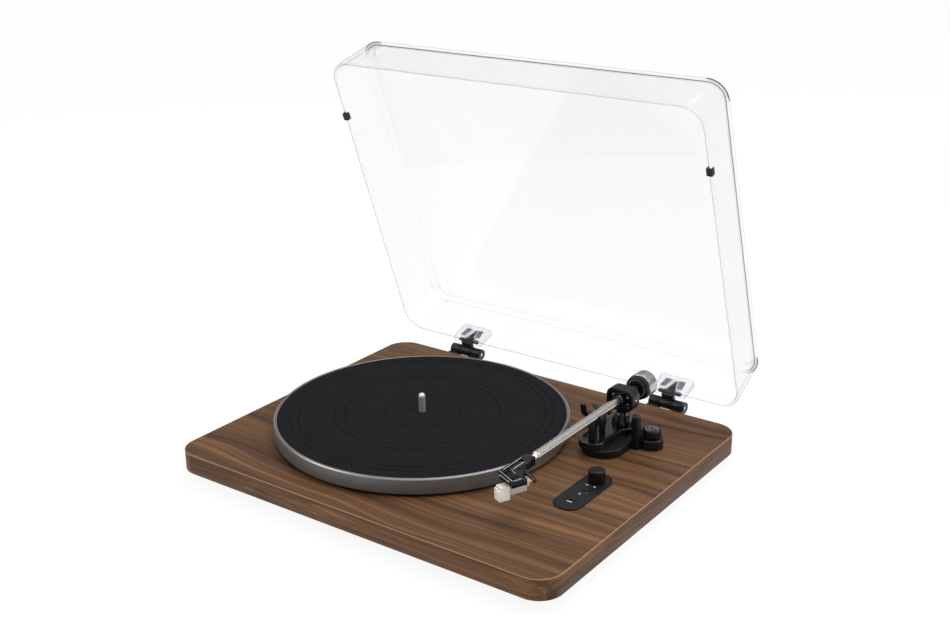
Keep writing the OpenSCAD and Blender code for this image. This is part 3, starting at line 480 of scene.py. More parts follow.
def on_ring(name, shape, count, radius, material, centre, facing=None, sweep=360):
    """Copies of a shape round a ring, which lies flat unless facing turns it, in degrees about x, y, z."""
    piece = mesh_object(name + "_one", shape, material, in_deck=False)
    turned = Matrix.Identity(4)
    if facing:
        for degrees, axis in zip(facing, "XYZ"):
            turned = Matrix.Rotation(math.radians(degrees), 4, axis) @ turned
    place = Matrix.Translation(in_frame(centre)) @ turned
    obj = grow(name, round_ring, bpy.data.meshes.new(name), {
        "Piece": piece, "Finish": material, "Count": count, "Radius": radius * MM,
        "Sweep": math.radians(sweep)}, place)
    bpy.data.objects.remove(piece)
    return obj


# ---- Finishes ----


def tone(red, green, blue):
    """A colour given on a scale of 0 to 255."""
    values = [v / 255 for v in (red, green, blue)]
    return tuple(v / 12.92 if v < 0.04045 else ((v + 0.055) / 1.055) ** 2.4 for v in values) + (1.0,)


def new_group(name, inputs, outputs):
    """A shader group with named sockets: inputs are (name, kind, value), outputs (name, kind)."""
    group = bpy.data.node_groups.new(name, "ShaderNodeTree")
    for label, kind, value in inputs:
        socket = group.interface.new_socket(label, in_out="INPUT", socket_type=kind)
        if value is not None:
            socket.default_value = value
    for label, kind in outputs:
        group.interface.new_socket(label, in_out="OUTPUT", socket_type=kind)
    return group, group.nodes.new("NodeGroupInput"), group.nodes.new("NodeGroupOutput")


def noise(tree, vector, scale, detail=2.0, roughness=0.5):
    node = tree.nodes.new("ShaderNodeTexNoise")
    node.inputs["Scale"].default_value = scale
    node.inputs["Detail"].default_value = detail
    node.inputs["Roughness"].default_value = roughness
    if vector is not None:
        tree.links.new(vector, node.inputs["Vector"])
    return node.outputs["Fac"]


def feed(tree, value, socket):
    if isinstance(value, bpy.types.NodeSocket):
        tree.links.new(value, socket)
    else:
        socket.default_value = value


def sums(tree, operation, one, two=0.5, three=None, clamp=False):
    node = tree.nodes.new("ShaderNodeMath")
    node.operation = operation
    node.use_clamp = clamp
    for i, value in enumerate((one, two, three)):
        if value is not None:
            feed(tree, value, node.inputs[i])
    return node.outputs[0]


def between(tree, value, low, high, start=0.0, end=1.0):
    """Maps a value from low..high to start..end, held at both ends."""
    node = tree.nodes.new("ShaderNodeMapRange")
    ends = {"Value": value, "From Min": low, "From Max": high, "To Min": start, "To Max": end}
    for label, given in ends.items():
        feed(tree, given, node.inputs[label])
    return node.outputs["Result"]


def blend_colour(tree, share, one, two, kind="MIX"):
    node = tree.nodes.new("ShaderNodeMix")
    node.data_type = "RGBA"
    node.blend_type = kind
    feed(tree, share, node.inputs["Factor"])
    feed(tree, one, node.inputs[6])
    feed(tree, two, node.inputs[7])
    return node.outputs[2]


def stretched(tree, vector, scale, shift=(0, 0, 0)):
    node = tree.nodes.new("ShaderNodeMapping")
    node.inputs["Scale"].default_value = scale
    node.inputs["Location"].default_value = shift
    tree.links.new(vector, node.inputs["Vector"])
    return node.outputs["Vector"]


def axes(tree, vector):
    """A vector's x, y and z, each as a value."""
    node = tree.nodes.new("ShaderNodeSeparateXYZ")
    tree.links.new(vector, node.inputs[0])
    return node.outputs


def vector_of(tree, x, y, z):
    node = tree.nodes.new("ShaderNodeCombineXYZ")
    for value, socket in zip((x, y, z), node.inputs):
        feed(tree, value, socket)
    return node.outputs[0]


def lightened(tree, shade, factor):
    """The shade made lighter or darker by a factor."""
    node = tree.nodes.new("ShaderNodeVectorMath")
    node.operation = "SCALE"
    feed(tree, shade, node.inputs[0])
    feed(tree, factor, node.inputs["Scale"])
    return node.outputs[0]


def swung(tree, value, change):
    """Turns a noise value into a factor that swings by the change to either side of 1."""
    return between(tree, value, 0.3, 0.7, sums(tree, "SUBTRACT", 1.0, change), sums(tree, "ADD", 1.0, change))


def moulded_group():
    """Fine moulded or sprayed grain: a little change of shade and gloss, and a height for bump."""
    group, given, result = new_group("moulded_grain", [
        ("Vector", "NodeSocketVector", None), ("Shade", "NodeSocketColor", (0.02, 0.02, 0.02, 1)),
        ("Change", "NodeSocketFloat", 0.1), ("Gloss", "NodeSocketFloat", 0.4),
        ("Gloss Change", "NodeSocketFloat", 0.08), ("Grain", "NodeSocketFloat", 2200.0)],
        [("Shade", "NodeSocketColor"), ("Roughness", "NodeSocketFloat"), ("Height", "NodeSocketFloat")])
    fine = group.nodes.new("ShaderNodeTexNoise")
    fine.inputs["Detail"].default_value = 2
    group.links.new(given.outputs["Vector"], fine.inputs["Vector"])
    group.links.new(given.outputs["Grain"], fine.inputs["Scale"])
    broad = noise(group, given.outputs["Vector"], 70, 3)
    shade = lightened(group, given.outputs["Shade"], swung(group, broad, given.outputs["Change"]))
    swing = sums(group, "SUBTRACT", sums(group, "ADD", sums(group, "MULTIPLY", fine.outputs["Fac"], 0.5),
                                         sums(group, "MULTIPLY", broad, 0.5)), 0.5)
    rough = sums(group, "MULTIPLY_ADD", swing, sums(group, "MULTIPLY", given.outputs["Gloss Change"], 2.0),
                 given.outputs["Gloss"], clamp=True)
    group.links.new(shade, result.inputs["Shade"])
    group.links.new(rough, result.inputs["Roughness"])
    group.links.new(fine.outputs["Fac"], result.inputs["Height"])
    return group


def dust_group():
    """Light dust that settles on faces that look up, broken into soft patches."""
    group, given, result = new_group("settled_dust", [
        ("Vector", "NodeSocketVector", None), ("Shade", "NodeSocketColor", (0.02, 0.02, 0.02, 1)),
        ("Dust", "NodeSocketColor", (0.35, 0.34, 0.32, 1)), ("Amount", "NodeSocketFloat", 0.03)],
        [("Shade", "NodeSocketColor"), ("Mask", "NodeSocketFloat")])
    facing = group.nodes.new("ShaderNodeNewGeometry")
    up = between(group, axes(group, facing.outputs["Normal"])["Z"], 0.3, 1.0)
    patches = between(group, noise(group, given.outputs["Vector"], 45, 6, 0.65), 0.4, 0.75)
    mask = sums(group, "MULTIPLY", sums(group, "MULTIPLY", up, patches), given.outputs["Amount"])
    shade = blend_colour(group, mask, given.outputs["Shade"], given.outputs["Dust"])
    group.links.new(shade, result.inputs["Shade"])
    group.links.new(mask, result.inputs["Mask"])
    return group


def brushed_group():
    """Brush lines: the caller stretches the coordinates along the way that the brush went."""
    group, given, result = new_group("brush_lines", [
        ("Vector", "NodeSocketVector", None), ("Shade", "NodeSocketColor", (0.6, 0.6, 0.6, 1)),
        ("Change", "NodeSocketFloat", 0.12), ("Gloss", "NodeSocketFloat", 0.3),
        ("Swing", "NodeSocketFloat", 0.12)],
        [("Shade", "NodeSocketColor"), ("Roughness", "NodeSocketFloat"), ("Height", "NodeSocketFloat")])
    lines = noise(group, given.outputs["Vector"], 1.0, 4, 0.6)
    shade = lightened(group, given.outputs["Shade"], swung(group, lines, given.outputs["Change"]))
    rough = sums(group, "MULTIPLY_ADD", sums(group, "SUBTRACT", lines, 0.5), given.outputs["Swing"],
                 given.outputs["Gloss"], clamp=True)
    group.links.new(shade, result.inputs["Shade"])
    group.links.new(rough, result.inputs["Roughness"])
    group.links.new(lines, result.inputs["Height"])
    return group


moulded_grain = moulded_group()
settled_dust = dust_group()
brush_lines = brushed_group()


def place_group(tree, group, settings):
    node = tree.nodes.new("ShaderNodeGroup")
    node.node_tree = group
    for label, value in settings.items():
        feed(tree, value, node.inputs[label])
    return node


def new_material(name, settings=None):
    """A material with its shader's plain values set; gives it, its tree, its shader and coordinates."""
    material = bpy.data.materials.new(name)
    material.use_nodes = True
    tree = material.node_tree
    shader = tree.nodes["Principled BSDF"]
    for label, value in (settings or {}).items():
        shader.inputs[label].default_value = value
    coordinates = tree.nodes.new("ShaderNodeTexCoord").outputs["Object"]
    return material, tree, shader, coordinates


def bump(tree, shader, height, strength, distance):
    node = tree.nodes.new("ShaderNodeBump")
    node.inputs["Strength"].default_value = strength
    node.inputs["Distance"].default_value = distance
    tree.links.new(height, node.inputs["Height"])
    tree.links.new(node.outputs["Normal"], shader.inputs["Normal"])


def moulded(name, shade, gloss, change=0.12, grain=2200, depth=0.00002, dust=0.02, strength=0.35, **settings):
    """Plastic, rubber, paint or plain metal with a fine grain and a trace of dust."""
    material, tree, shader, vector = new_material(name, {k.replace("_", " "): v for k, v in settings.items()})
    skin = place_group(tree, moulded_grain, {
        "Vector": vector, "Shade": shade, "Change": change, "Gloss": gloss, "Gloss Change": 0.07,
        "Grain": float(grain)})
    dusty = place_group(tree, settled_dust, {
        "Vector": vector, "Shade": skin.outputs["Shade"], "Amount": dust})
    tree.links.new(dusty.outputs["Shade"], shader.inputs["Base Color"])
    tree.links.new(skin.outputs["Roughness"], shader.inputs["Roughness"])
    bump(tree, shader, skin.outputs["Height"], strength, depth)
    return material


def brushed(name, shade, gloss, stretch, change=0.05, depth=0.000003, **settings):
    """Bare metal with brush lines; stretch is the lines' frequency along x, y and z."""
    material, tree, shader, vector = new_material(name, {k.replace("_", " "): v for k, v in settings.items()})
    lines = place_group(tree, brush_lines, {
        "Vector": stretched(tree, vector, stretch), "Shade": shade, "Change": change, "Gloss": gloss})
    tree.links.new(lines.outputs["Shade"], shader.inputs["Base Color"])
    tree.links.new(lines.outputs["Roughness"], shader.inputs["Roughness"])
    bump(tree, shader, lines.outputs["Height"], 0.1, depth)
    return material


# the veneer's shades from its darkest lines to its palest
WALNUT = [(53, 34, 21), (82, 56, 36), (109, 77, 50), (138, 101, 67)]


def walnut_finish():
    """Oiled walnut veneer: the figure runs along the width, and along the ends on the two end faces."""
    material, tree, shader, vector = new_material("walnut_veneer", {
        "Coat Roughness": 0.3, "Coat IOR": 1.4, "Specular IOR Level": 0.16})
    link = tree.links.new
    facing = tree.nodes.new("ShaderNodeNewGeometry")
    side = axes(tree, facing.outputs["Normal"])
    end_face = sums(tree, "GREATER_THAN", sums(tree, "ABSOLUTE", side["X"]), 0.75)
    here = axes(tree, vector)
    swapped = vector_of(tree, here["Y"], sums(tree, "ADD", here["X"], 0.31), here["Z"])
    pick = tree.nodes.new("ShaderNodeMix")
    pick.data_type = "VECTOR"
    link(end_face, pick.inputs["Factor"])
    link(vector, pick.inputs[4])
    link(swapped, pick.inputs[5])
    along = pick.outputs[1]
    # the figure wanders slowly across the board
    drift = noise(tree, stretched(tree, along, (3.2, 11, 11)), 1.0, 2, 0.45)
    straight = axes(tree, along)
    wander = sums(tree, "MULTIPLY_ADD", sums(tree, "SUBTRACT", drift, 0.5), 0.055, straight["Y"])
    grain = vector_of(tree, straight["X"], wander, straight["Z"])
    bands = noise(tree, stretched(tree, grain, (1.5, 50, 50)), 1.0, 3, 0.55)
    rings = noise(tree, stretched(tree, grain, (2.2, 290, 290)), 1.0, 4, 0.62)
    streaks = noise(tree, stretched(tree, grain, (9, 900, 900)), 1.0, 3, 0.6)
    pores = noise(tree, stretched(tree, grain, (75, 2600, 2600)), 1.0, 1, 0.5)
    figure = tree.nodes.new("ShaderNodeValToRGB")
    stops = figure.color_ramp.elements
    stops[0].position, stops[0].color = 0.34, tone(*WALNUT[0])
    stops[1].position, stops[1].color = 0.67, tone(*WALNUT[3])
    for at, shade in ((0.44, WALNUT[1]), (0.57, WALNUT[2])):
        stop = stops.new(at)
        stop.color = tone(*shade)
    mixed = sums(tree, "ADD", sums(tree, "MULTIPLY", bands, 0.46), sums(tree, "MULTIPLY", rings, 0.54))
    link(mixed, figure.inputs["Fac"])
    fine = between(tree, streaks, 0.32, 0.68, 0.84, 1.14)
    dark_pores = between(tree, pores, 0.60, 0.74, 1.0, 0.72)
    shade = lightened(tree, figure.outputs["Color"], sums(tree, "MULTIPLY", fine, dark_pores))
    # painted highlight: the rounded top edge is painted a little paler, where it would catch the light
    top_edge_highlight_mask = sums(tree, "MULTIPLY", between(tree, side["Z"], 0.15, 0.5), between(tree, side["Z"], 0.97, 0.8))
    painted_top_edge_highlight = blend_colour(tree, sums(tree, "MULTIPLY", top_edge_highlight_mask, 0.75), shade, tone(176, 142, 110))
    link(painted_top_edge_highlight, shader.inputs["Base Color"])
    rough = between(tree, rings, 0.3, 0.7, 0.40, 0.52)
    link(sums(tree, "MULTIPLY_ADD", sums(tree, "SUBTRACT", 1.0, dark_pores), 0.4, rough, clamp=True),
         shader.inputs["Roughness"])
    link(between(tree, streaks, 0.3, 0.7, 0.02, 0.06), shader.inputs["Coat Weight"])
    relief = sums(tree, "ADD", sums(tree, "MULTIPLY", dark_pores, 0.6), sums(tree, "MULTIPLY", streaks, 0.4))
    bump(tree, shader, relief, 0.3, 0.00006)
    return material


def mat_finish(centre):
    """Rubber mat: a faint turned sheen in rings round the spindle."""
    material, tree, shader, vector = new_material("mat_rubber", {"Specular IOR Level": 0.05})
    link = tree.links.new
    offset = stretched(tree, vector, (1, 1, 1), (-centre.x, -centre.y, 0))
    flat = tree.nodes.new("ShaderNodeVectorMath")
    flat.operation = "MULTIPLY"
    flat.inputs[1].default_value = (1, 1, 0)
    link(offset, flat.inputs[0])
    away = tree.nodes.new("ShaderNodeVectorMath")
    away.operation = "LENGTH"
    link(flat.outputs[0], away.inputs[0])
    ring = tree.nodes.new("ShaderNodeTexNoise")
    ring.noise_dimensions = "1D"
    ring.inputs["Scale"].default_value = 900
    ring.inputs["Detail"].default_value = 3
    link(away.outputs["Value"], ring.inputs["W"])
    skin = place_group(tree, moulded_grain, {
        "Vector": vector, "Shade": tone(23, 23, 25), "Change": 0.08, "Gloss": 0.62, "Gloss Change": 0.06,
        "Grain": 3000.0})
    dusty = place_group(tree, settled_dust, {
        "Vector": vector, "Shade": skin.outputs["Shade"], "Amount": 0.006})
    link(dusty.outputs["Shade"], shader.inputs["Base Color"])
    link(sums(tree, "MULTIPLY_ADD", sums(tree, "SUBTRACT", ring.outputs["Fac"], 0.5), 0.12,
              skin.outputs["Roughness"], clamp=True), shader.inputs["Roughness"])
    height = sums(tree, "ADD", sums(tree, "MULTIPLY", ring.outputs["Fac"], 0.6),
                  sums(tree, "MULTIPLY", skin.outputs["Height"], 0.4))
    bump(tree, shader, height, 0.25, 0.00005)
    return material


def platter_finish(bright_from):
    """Sprayed grey platter whose turned top edge is left bright."""
    material, tree, shader, vector = new_material("platter_grey")
    link = tree.links.new
    bright = between(tree, axes(tree, vector)["Z"], bright_from, bright_from + 0.0001)
    skin = place_group(tree, moulded_grain, {
        "Vector": vector, "Shade": tone(122, 121, 119), "Change": 0.05, "Gloss": 0.46, "Gloss Change": 0.05,
        "Grain": 2600.0})
    turned = place_group(tree, brush_lines, {
        "Vector": stretched(tree, vector, (60, 60, 5200)), "Shade": tone(150, 150, 149), "Change": 0.03,
        "Swing": 0.05, "Gloss": 0.34})
    shade = blend_colour(tree, bright, skin.outputs["Shade"], turned.outputs["Shade"])
    link(shade, shader.inputs["Base Color"])
    rough = tree.nodes.new("ShaderNodeMix")
    link(bright, rough.inputs["Factor"])
    link(skin.outputs["Roughness"], rough.inputs[2])
    link(turned.outputs["Roughness"], rough.inputs[3])
    link(rough.outputs[0], shader.inputs["Roughness"])
    link(between(tree, bright, 0, 1, 0.6, 1.0), shader.inputs["Metallic"])
    bump(tree, shader, skin.outputs["Height"], 0.2, 0.00002)
    return material


def clear_finish(name, shade, gloss, ior, straight=0.8, tint=0.975, milk=0.0, grazing=11.0, reach=1.0):
    """Clear acrylic. Most light goes straight through and a share is bent; surfaces seen at a grazing angle
    get a painted grey shade.
    """
    material, tree, shader, vector = new_material(name, {
        "Transmission Weight": 1.0 - milk, "IOR": ior, "Metallic": 0.0})
    link = tree.links.new
    skin = place_group(tree, moulded_grain, {
        "Vector": vector, "Shade": shade, "Change": 0.01, "Gloss": gloss, "Gloss Change": 0.012,
        "Grain": 260.0})
    link(skin.outputs["Shade"], shader.inputs["Base Color"])
    link(skin.outputs["Roughness"], shader.inputs["Roughness"])
    bump(tree, shader, skin.outputs["Height"], 0.02, 0.00001)
    # painted shade: towards grazing angles the light passing straight through is tinted a dark bluish grey
    grazed = tree.nodes.new("ShaderNodeLayerWeight")
    grazed.inputs["Blend"].default_value = 0.5
    grazing_shade_mask = sums(tree, "POWER", sums(tree, "MULTIPLY", grazed.outputs["Facing"], reach, clamp=True), grazing)
    through = tree.nodes.new("ShaderNodeBsdfTransparent")
    painted_grazing_shade = blend_colour(tree, grazing_shade_mask, (tint, tint, tint + 0.003, 1), (0.10, 0.10, 0.16, 1))
    link(painted_grazing_shade, through.inputs["Color"])
    passing = tree.nodes.new("ShaderNodeLightPath")
    either = sums(tree, "MAXIMUM", passing.outputs["Is Shadow Ray"], passing.outputs["Is Diffuse Ray"])
    both = tree.nodes.new("ShaderNodeMixShader")
    link(sums(tree, "MAXIMUM", either, straight), both.inputs["Fac"])
    link(shader.outputs[0], both.inputs[1])
    link(through.outputs[0], both.inputs[2])
    link(both.outputs[0], tree.nodes["Material Output"].inputs["Surface"])
    return material


walnut = walnut_finish()
spindle_spot = middle("spindle")
mat_rubber = mat_finish(in_frame(spindle_spot))
BRIGHT_EDGE_Z = 17.55
platter_grey = platter_finish(in_frame((0, 0, BRIGHT_EDGE_Z)).z)
satin_black = moulded("satin_black_plastic", tone(19, 20, 22), 0.32, depth=0.000008, dust=0.006,
                      Specular_IOR_Level=0.3)
head_black = moulded("headshell_black", tone(13, 14, 15), 0.24, depth=0.000006, dust=0.004,
                     Specular_IOR_Level=0.32)
gloss_black = moulded("polished_black_plastic", tone(12, 13, 15), 0.16, depth=0.000004, dust=0.004,
                      Specular_IOR_Level=0.4, Coat_Weight=0.25, Coat_Roughness=0.08)
grey_black = moulded("dark_soft_plastic", tone(34, 35, 38), 0.48)
panel_black = moulded("panel_black", tone(20, 22, 24), 0.40, depth=0.00001, dust=0.006,
                      Specular_IOR_Level=0.25)
knob_black = moulded("knob_black", tone(17, 18, 19), 0.36, depth=0.00001, dust=0.006,
                     Specular_IOR_Level=0.28)
black_rubber = moulded("black_rubber", tone(28, 28, 29), 0.72, grain=1400, depth=0.00005)
black_metal = moulded("blacked_steel", tone(38, 39, 41), 0.32, Metallic=0.8, depth=0.000008)
white_mark = moulded("printed_white", tone(226, 228, 228), 0.5, change=0.03, depth=0.000004)
grey_mark = moulded("printed_grey", tone(172, 176, 180), 0.42, change=0.05, depth=0.000004)
amber_lens = moulded("amber_lens", tone(116, 66, 44), 0.2, change=0.05, depth=0.000004, Coat_Weight=0.6)
cream_nylon = moulded("cream_nylon", tone(226, 212, 186), 0.42, depth=0.00001)
cartridge_grey = moulded("cartridge_shell", tone(196, 190, 180), 0.3, depth=0.00001, Coat_Weight=0.3)
board_green = moulded("board_green", tone(32, 92, 60), 0.45, change=0.1)
board_part = moulded("board_parts", tone(52, 54, 60), 0.4)
fibre_board = moulded("pressed_board", tone(48, 44, 40), 0.7, change=0.2, grain=900, depth=0.00006)
white_nylon = moulded("white_nylon", tone(214, 214, 208), 0.4, depth=0.00001)
red_ring = moulded("red_insulator", tone(170, 32, 34), 0.35, depth=0.00001)
tube_silver = brushed("brushed_tube", tone(206, 203, 197), 0.23, (2400, 40, 2400), change=0.02,
                      depth=0.000001, Metallic=1.0)
weight_silver = brushed("turned_weight", tone(190, 188, 183), 0.25, (60, 4200, 60), change=0.08, Metallic=1.0)
bright_steel = brushed("bright_steel", tone(232, 230, 226), 0.28, (500, 500, 4600), Metallic=0.75)
screw_steel = brushed("screw_steel", tone(196, 196, 194), 0.24, (3000, 900, 900), Metallic=1.0)
warm_brass = brushed("turned_brass", tone(204, 170, 104), 0.3, (700, 700, 4200), Metallic=1.0)
plated = brushed("nickel_plate", tone(206, 198, 176), 0.22, (900, 4200, 900), Metallic=1.0)
clear_acrylic = clear_finish("clear_acrylic", (0.985, 0.99, 0.992, 1), 0.012, 1.49, 0.955, 0.988)
edge_acrylic = clear_finish("edge_acrylic", (0.96, 0.96, 0.97, 1), 0.012, 1.49, 0.90, 0.978,
                            grazing=3.4, reach=1.45)
socket_acrylic = clear_finish("socket_acrylic", (0.96, 0.965, 0.97, 1), 0.004, 1.49, 0.955, 0.975,
                              grazing=3.2)
milky_acrylic = clear_finish("milky_acrylic", tone(254, 250, 242), 0.2, 1.46, 0.12, 0.97, milk=0.8)
# painted highlight: a pale grey for strips that stand for light caught on the headshell's edges
painted_highlight_grey = moulded("polished_edge", tone(176, 176, 176), 0.25, change=0.1, Metallic=0.3, depth=0.000004)
# painted shade: a near-black matte for the insides of the headshell's slots
painted_slot_shade = moulded("slot_black", tone(6, 6, 7), 0.6, dust=0.0, Specular_IOR_Level=0.1)
# painted shade and painted highlight for the hollow pockets seen inside the clear sockets
pocket_grey = moulded("pocket_grey", tone(112, 112, 124), 0.25, change=0.2, grain=900, depth=0.00001)
pocket_white = moulded("pocket_white", tone(244, 244, 248), 0.2, change=0.03, depth=0.000006)

# ---- Plinth and what hangs under it ----


def spot(node):
    """The middle of a node's box, lying on the deck."""
    place = middle(node)
    return place.x, place.y


PLINTH_W, PLINTH_D, PLINTH_T = 440, 360, 21

slab = prism(round_rect(PLINTH_W - 0.02, PLINTH_D - 0.02, 24, 14), -PLINTH_T, -0.01, 1.1, 0.8, 4)
slab = mesh_object("plinth_block", slab, walnut)
hollows = rounded_copy("plinth_hollows", "plinth", walnut, 0)
carve(slab, hollows, operation="INTERSECT")
dress(slab, "plinth")

foot = lathe([(4.5, 2), (4.5, 0), (14.6, 0, 0.8), (15.6, 1.2, 0.5), (16.6, 8.5, 0.6), (17, 9.4, 0.4),
              (17, 12)], 56)
feet = on_points("feet_rubber", foot, [(x, y, -33) for x in (-168, 168) for y in (-128, 128)], black_rubber)
dress(feet, "feet")

for node, finish in {
    "bottom_cover": fibre_board, "base_screws": black_metal, "bearing_housing": warm_brass,
    "thrust_ball": bright_steel, "motor_can": plated, "motor_shaft": bright_steel, "motor_pulley": warm_brass,
    "drive_belt": black_rubber, "control_board": board_green, "main_board": board_green,
    "rotary_switch": board_part, "tact_switches": board_part, "board_parts": board_part,
    "arm_bearing": warm_brass, "hinge_pins": bright_steel, "stylus": white_nylon,
}.items():
    coat(node, finish)

# ---- Platter, mat and spindle ----

spindle_x, spindle_y = spindle_spot.x, spindle_spot.y
platter = lathe([
    (4.3, 15.95), (146.4, 15.95, 0.3), (146.4, 18.2, 0.2), (146.8, 18.6, 0.3), (148.9, 18.6, 0.5),
    (150, 17.5, 0.5), (150, 3.5, 0.6), (149.1, 2.6, 0.3), (144.4, 2.6, 0.4), (144, 3.2), (144, 12.4, 2),
    (71, 12.4, 0.4), (71, 4.3), (67, 4.3), (67, 12.4, 0.4), (14, 12.4, 1), (14, 6), (4.3, 6)],
    220, closed=True)
dress(mesh_object("platter_disc", move(platter, spindle_x, spindle_y), platter_grey), "platter")

groove_w, groove_d, mat_top = 1.0, 0.55, 18.9
profile = [(3.75, 16.02), (146.2, 16.02, 0.3), (146.2, mat_top, 0.7)]
for radius in (134, 125.5, 89, 79, 39):
    profile += [(radius + groove_w / 2 + 0.15, mat_top, 0.1), (radius + 0.2, mat_top - groove_d, 0.1),
                (radius - 0.2, mat_top - groove_d, 0.1), (radius - groove_w / 2 - 0.15, mat_top, 0.1)]
profile += [(3.75, mat_top, 0.3)]
mat = move(lathe(profile, 200, closed=True), spindle_x, spindle_y)
dress(mesh_object("mat_disc", mat, mat_rubber, sharp=50), "slip_mat")

pin = lathe([(0, -11.9), (3.9, -11.9, 0.5), (3.9, 15.9), (3.55, 16.2), (3.55, 35.3, 0.6), (3.1, 37.1, 0.8),
             (1.6, 38.4, 0.8), (0, 38.5)], 56)
dress(mesh_object("spindle_pin", move(pin, spindle_x, spindle_y), bright_steel), "spindle")

# ---- Controls ----

panel_x, panel_y = spot("control_panel")
PANEL_FACE = 1.3
panel_outline = round_rect(28.4, 78.8, 13.9, 16)
panel = move(prism(panel_outline, 0.02, 1.6, 0.45, 0.1), panel_x, panel_y)
panel = mesh_object("panel_plate", panel, panel_black)
knob_x, knob_y = spot("speed_knob")
button_x, start_y = spot("start_button")
stop_y = spot("stop_button")[1]
led_x, led_y = spot("power_led")
carve(panel, move(prism(inset(panel_outline, 1.0), PANEL_FACE, 3, 0.15), panel_x, panel_y))
panel_holes = ((knob_x, knob_y, 3.3), (button_x, start_y, 4.6), (button_x, stop_y, 4.6), (led_x, led_y, 1.3))
for hole_x, hole_y, radius in panel_holes:
    carve(panel, move(prism(circle(radius, 40), -1, 3, 0.05), hole_x, hole_y))
dress(panel, "control_panel")

cap = lathe([(0, -9.5), (2.95, -9.5), (2.95, 1.9), (7.4, 1.9, 0.3), (8, 2.6, 0.3), (8, 12.6, 0.5),
             (7.3, 13.5, 0.5), (6.4, 13.75, 0.3), (5.9, 13.45, 0.4), (0, 13.3)], 72)
knob = mesh_object("knob_cap", move(cap, knob_x, knob_y), knob_black)
carve(knob, move(block((-0.4, -7.2, 13.0), (0.4, -3.2, 14.4), 0.1), knob_x, knob_y))
dress(knob, "speed_knob")
knob_rib = block((-0.25, -0.16, 0), (0.1, 0.16, 8.2), 0.06)
belongs(on_ring("knob_grip", knob_rib, 48, 7.98, knob_black, (knob_x, knob_y, 3.6)), "speed_knob")

button = lathe([(0, -6), (1.45, -6), (1.45, 0.9), (4.0, 0.9), (4.25, 1.1, 0.1), (4.25, 1.6, 0.2),
                (3.9, 1.9, 0.2), (3.2, 1.75, 0.4), (0, 1.5)], 56)
dress(mesh_object("start_cap", move(button, button_x, start_y), knob_black), "start_button")
dress(mesh_object("stop_cap", move(button, button_x, stop_y), knob_black), "stop_button")
lens = lathe([(0, -10.3), (1.05, -10.3), (1.05, 1.3, 0.2), (0.7, 1.55, 0.3), (0, 1.6)], 32)
dress(mesh_object("led_lens", move(lens, led_x, led_y), amber_lens), "power_led")

# printed marks: two speeds before the knob with a dot between them, a square between the buttons and
# a dashed bar before the stop button
INK_LOW, INK_TOP = PANEL_FACE - 0.01, PANEL_FACE + 0.04
STROKES = {"3": "abcdg", "4": "bcfg", "5": "acdfg"}
# where each stroke starts, across and up, and whether it lies flat
SEGMENTS = {"a": (0, 1, True), "b": (1, 0.5, False), "c": (1, 0, False), "d": (0, 0, True),
            "f": (0, 0.5, False), "g": (0, 0.5, True)}


def ink(left, right, front, rear):
    return block((left, front, INK_LOW), (right, rear, INK_TOP), 0.02)


def numerals(word, x, y, width=1.0, height=1.9, line=0.26):
    shapes = []
    for place, digit in enumerate(word):
        left = x + place * (width + 0.55)
        for stroke in STROKES[digit]:
            across, up, flat = SEGMENTS[stroke]
            cx, cy = left + across * width, y + up * height
            right = cx + width if flat else cx
            rear = cy if flat else cy + height / 2
            shapes.append(ink(cx - line / 2, right + line / 2, cy - line / 2, rear + line / 2))
    return shapes


marks = numerals("33", panel_x - 5.2, knob_y - 12.4) + numerals("45", panel_x + 2.9, knob_y - 12.4)
marks.append(move(prism(circle(0.35, 16), INK_LOW, INK_TOP, 0.02), panel_x, knob_y - 11.3))
between_y = (start_y + stop_y) / 2
marks.append(ink(button_x - 0.75, button_x + 0.75, between_y - 0.75, between_y + 0.75))
marks += [ink(button_x + at - 0.55, button_x + at + 0.55, stop_y - 8.2, stop_y - 7.0)
          for at in (-2.0, -0.7, 0.7, 2.0)]
belongs(mesh_object("panel_marks", join(*marks), white_mark), "control_panel")

# ---- Tonearm base ----

arm_x, arm_y = spot("arm_yoke")
ARM_Z = 43
foot_x, foot_y = spot("arm_base_lower")
lower = prism(round_rect(42.9, 78.3, 21.4, 18), 0.02, 8, 0.7, 0.4, 4)
lower = mesh_object("arm_base_foot", move(lower, foot_x, foot_y), satin_black)
carve(lower, move(prism(circle(8.02, 48), -1, 9, 0.05), arm_x, arm_y))
dress(lower, "arm_base_lower")
deck_x, deck_y = 124.1, 74.2
upper = prism(round_rect(26.6, 75.4, 11, 12), 8.02, 15, 1.2, 0.3, 5)
upper = mesh_object("arm_base_deck", move(upper, deck_x, deck_y), gloss_black)
carve(upper, move(prism(circle(13.95, 80), 8.02, 14.99, 1.2, 0.3, 5), arm_x, arm_y), operation="UNION")
carve(upper, move(prism(circle(8.02, 48), 7, 16, 0.05), arm_x, arm_y))
dress(upper, "arm_base_upper")

dome = lathe([(0, -10), (4.95, -10), (4.95, 15.3), (10.4, 15.3, 0.3), (10.45, 16.8, 1), (10, 19.8, 3),
              (9, 23.2, 3), (7.4, 26.8, 3), (6, 28.3, 1), (6, 31.4), (0, 31.4)], 80)
dress(mesh_object("yoke_dome", move(dome, arm_x, arm_y), gloss_black), "arm_yoke")

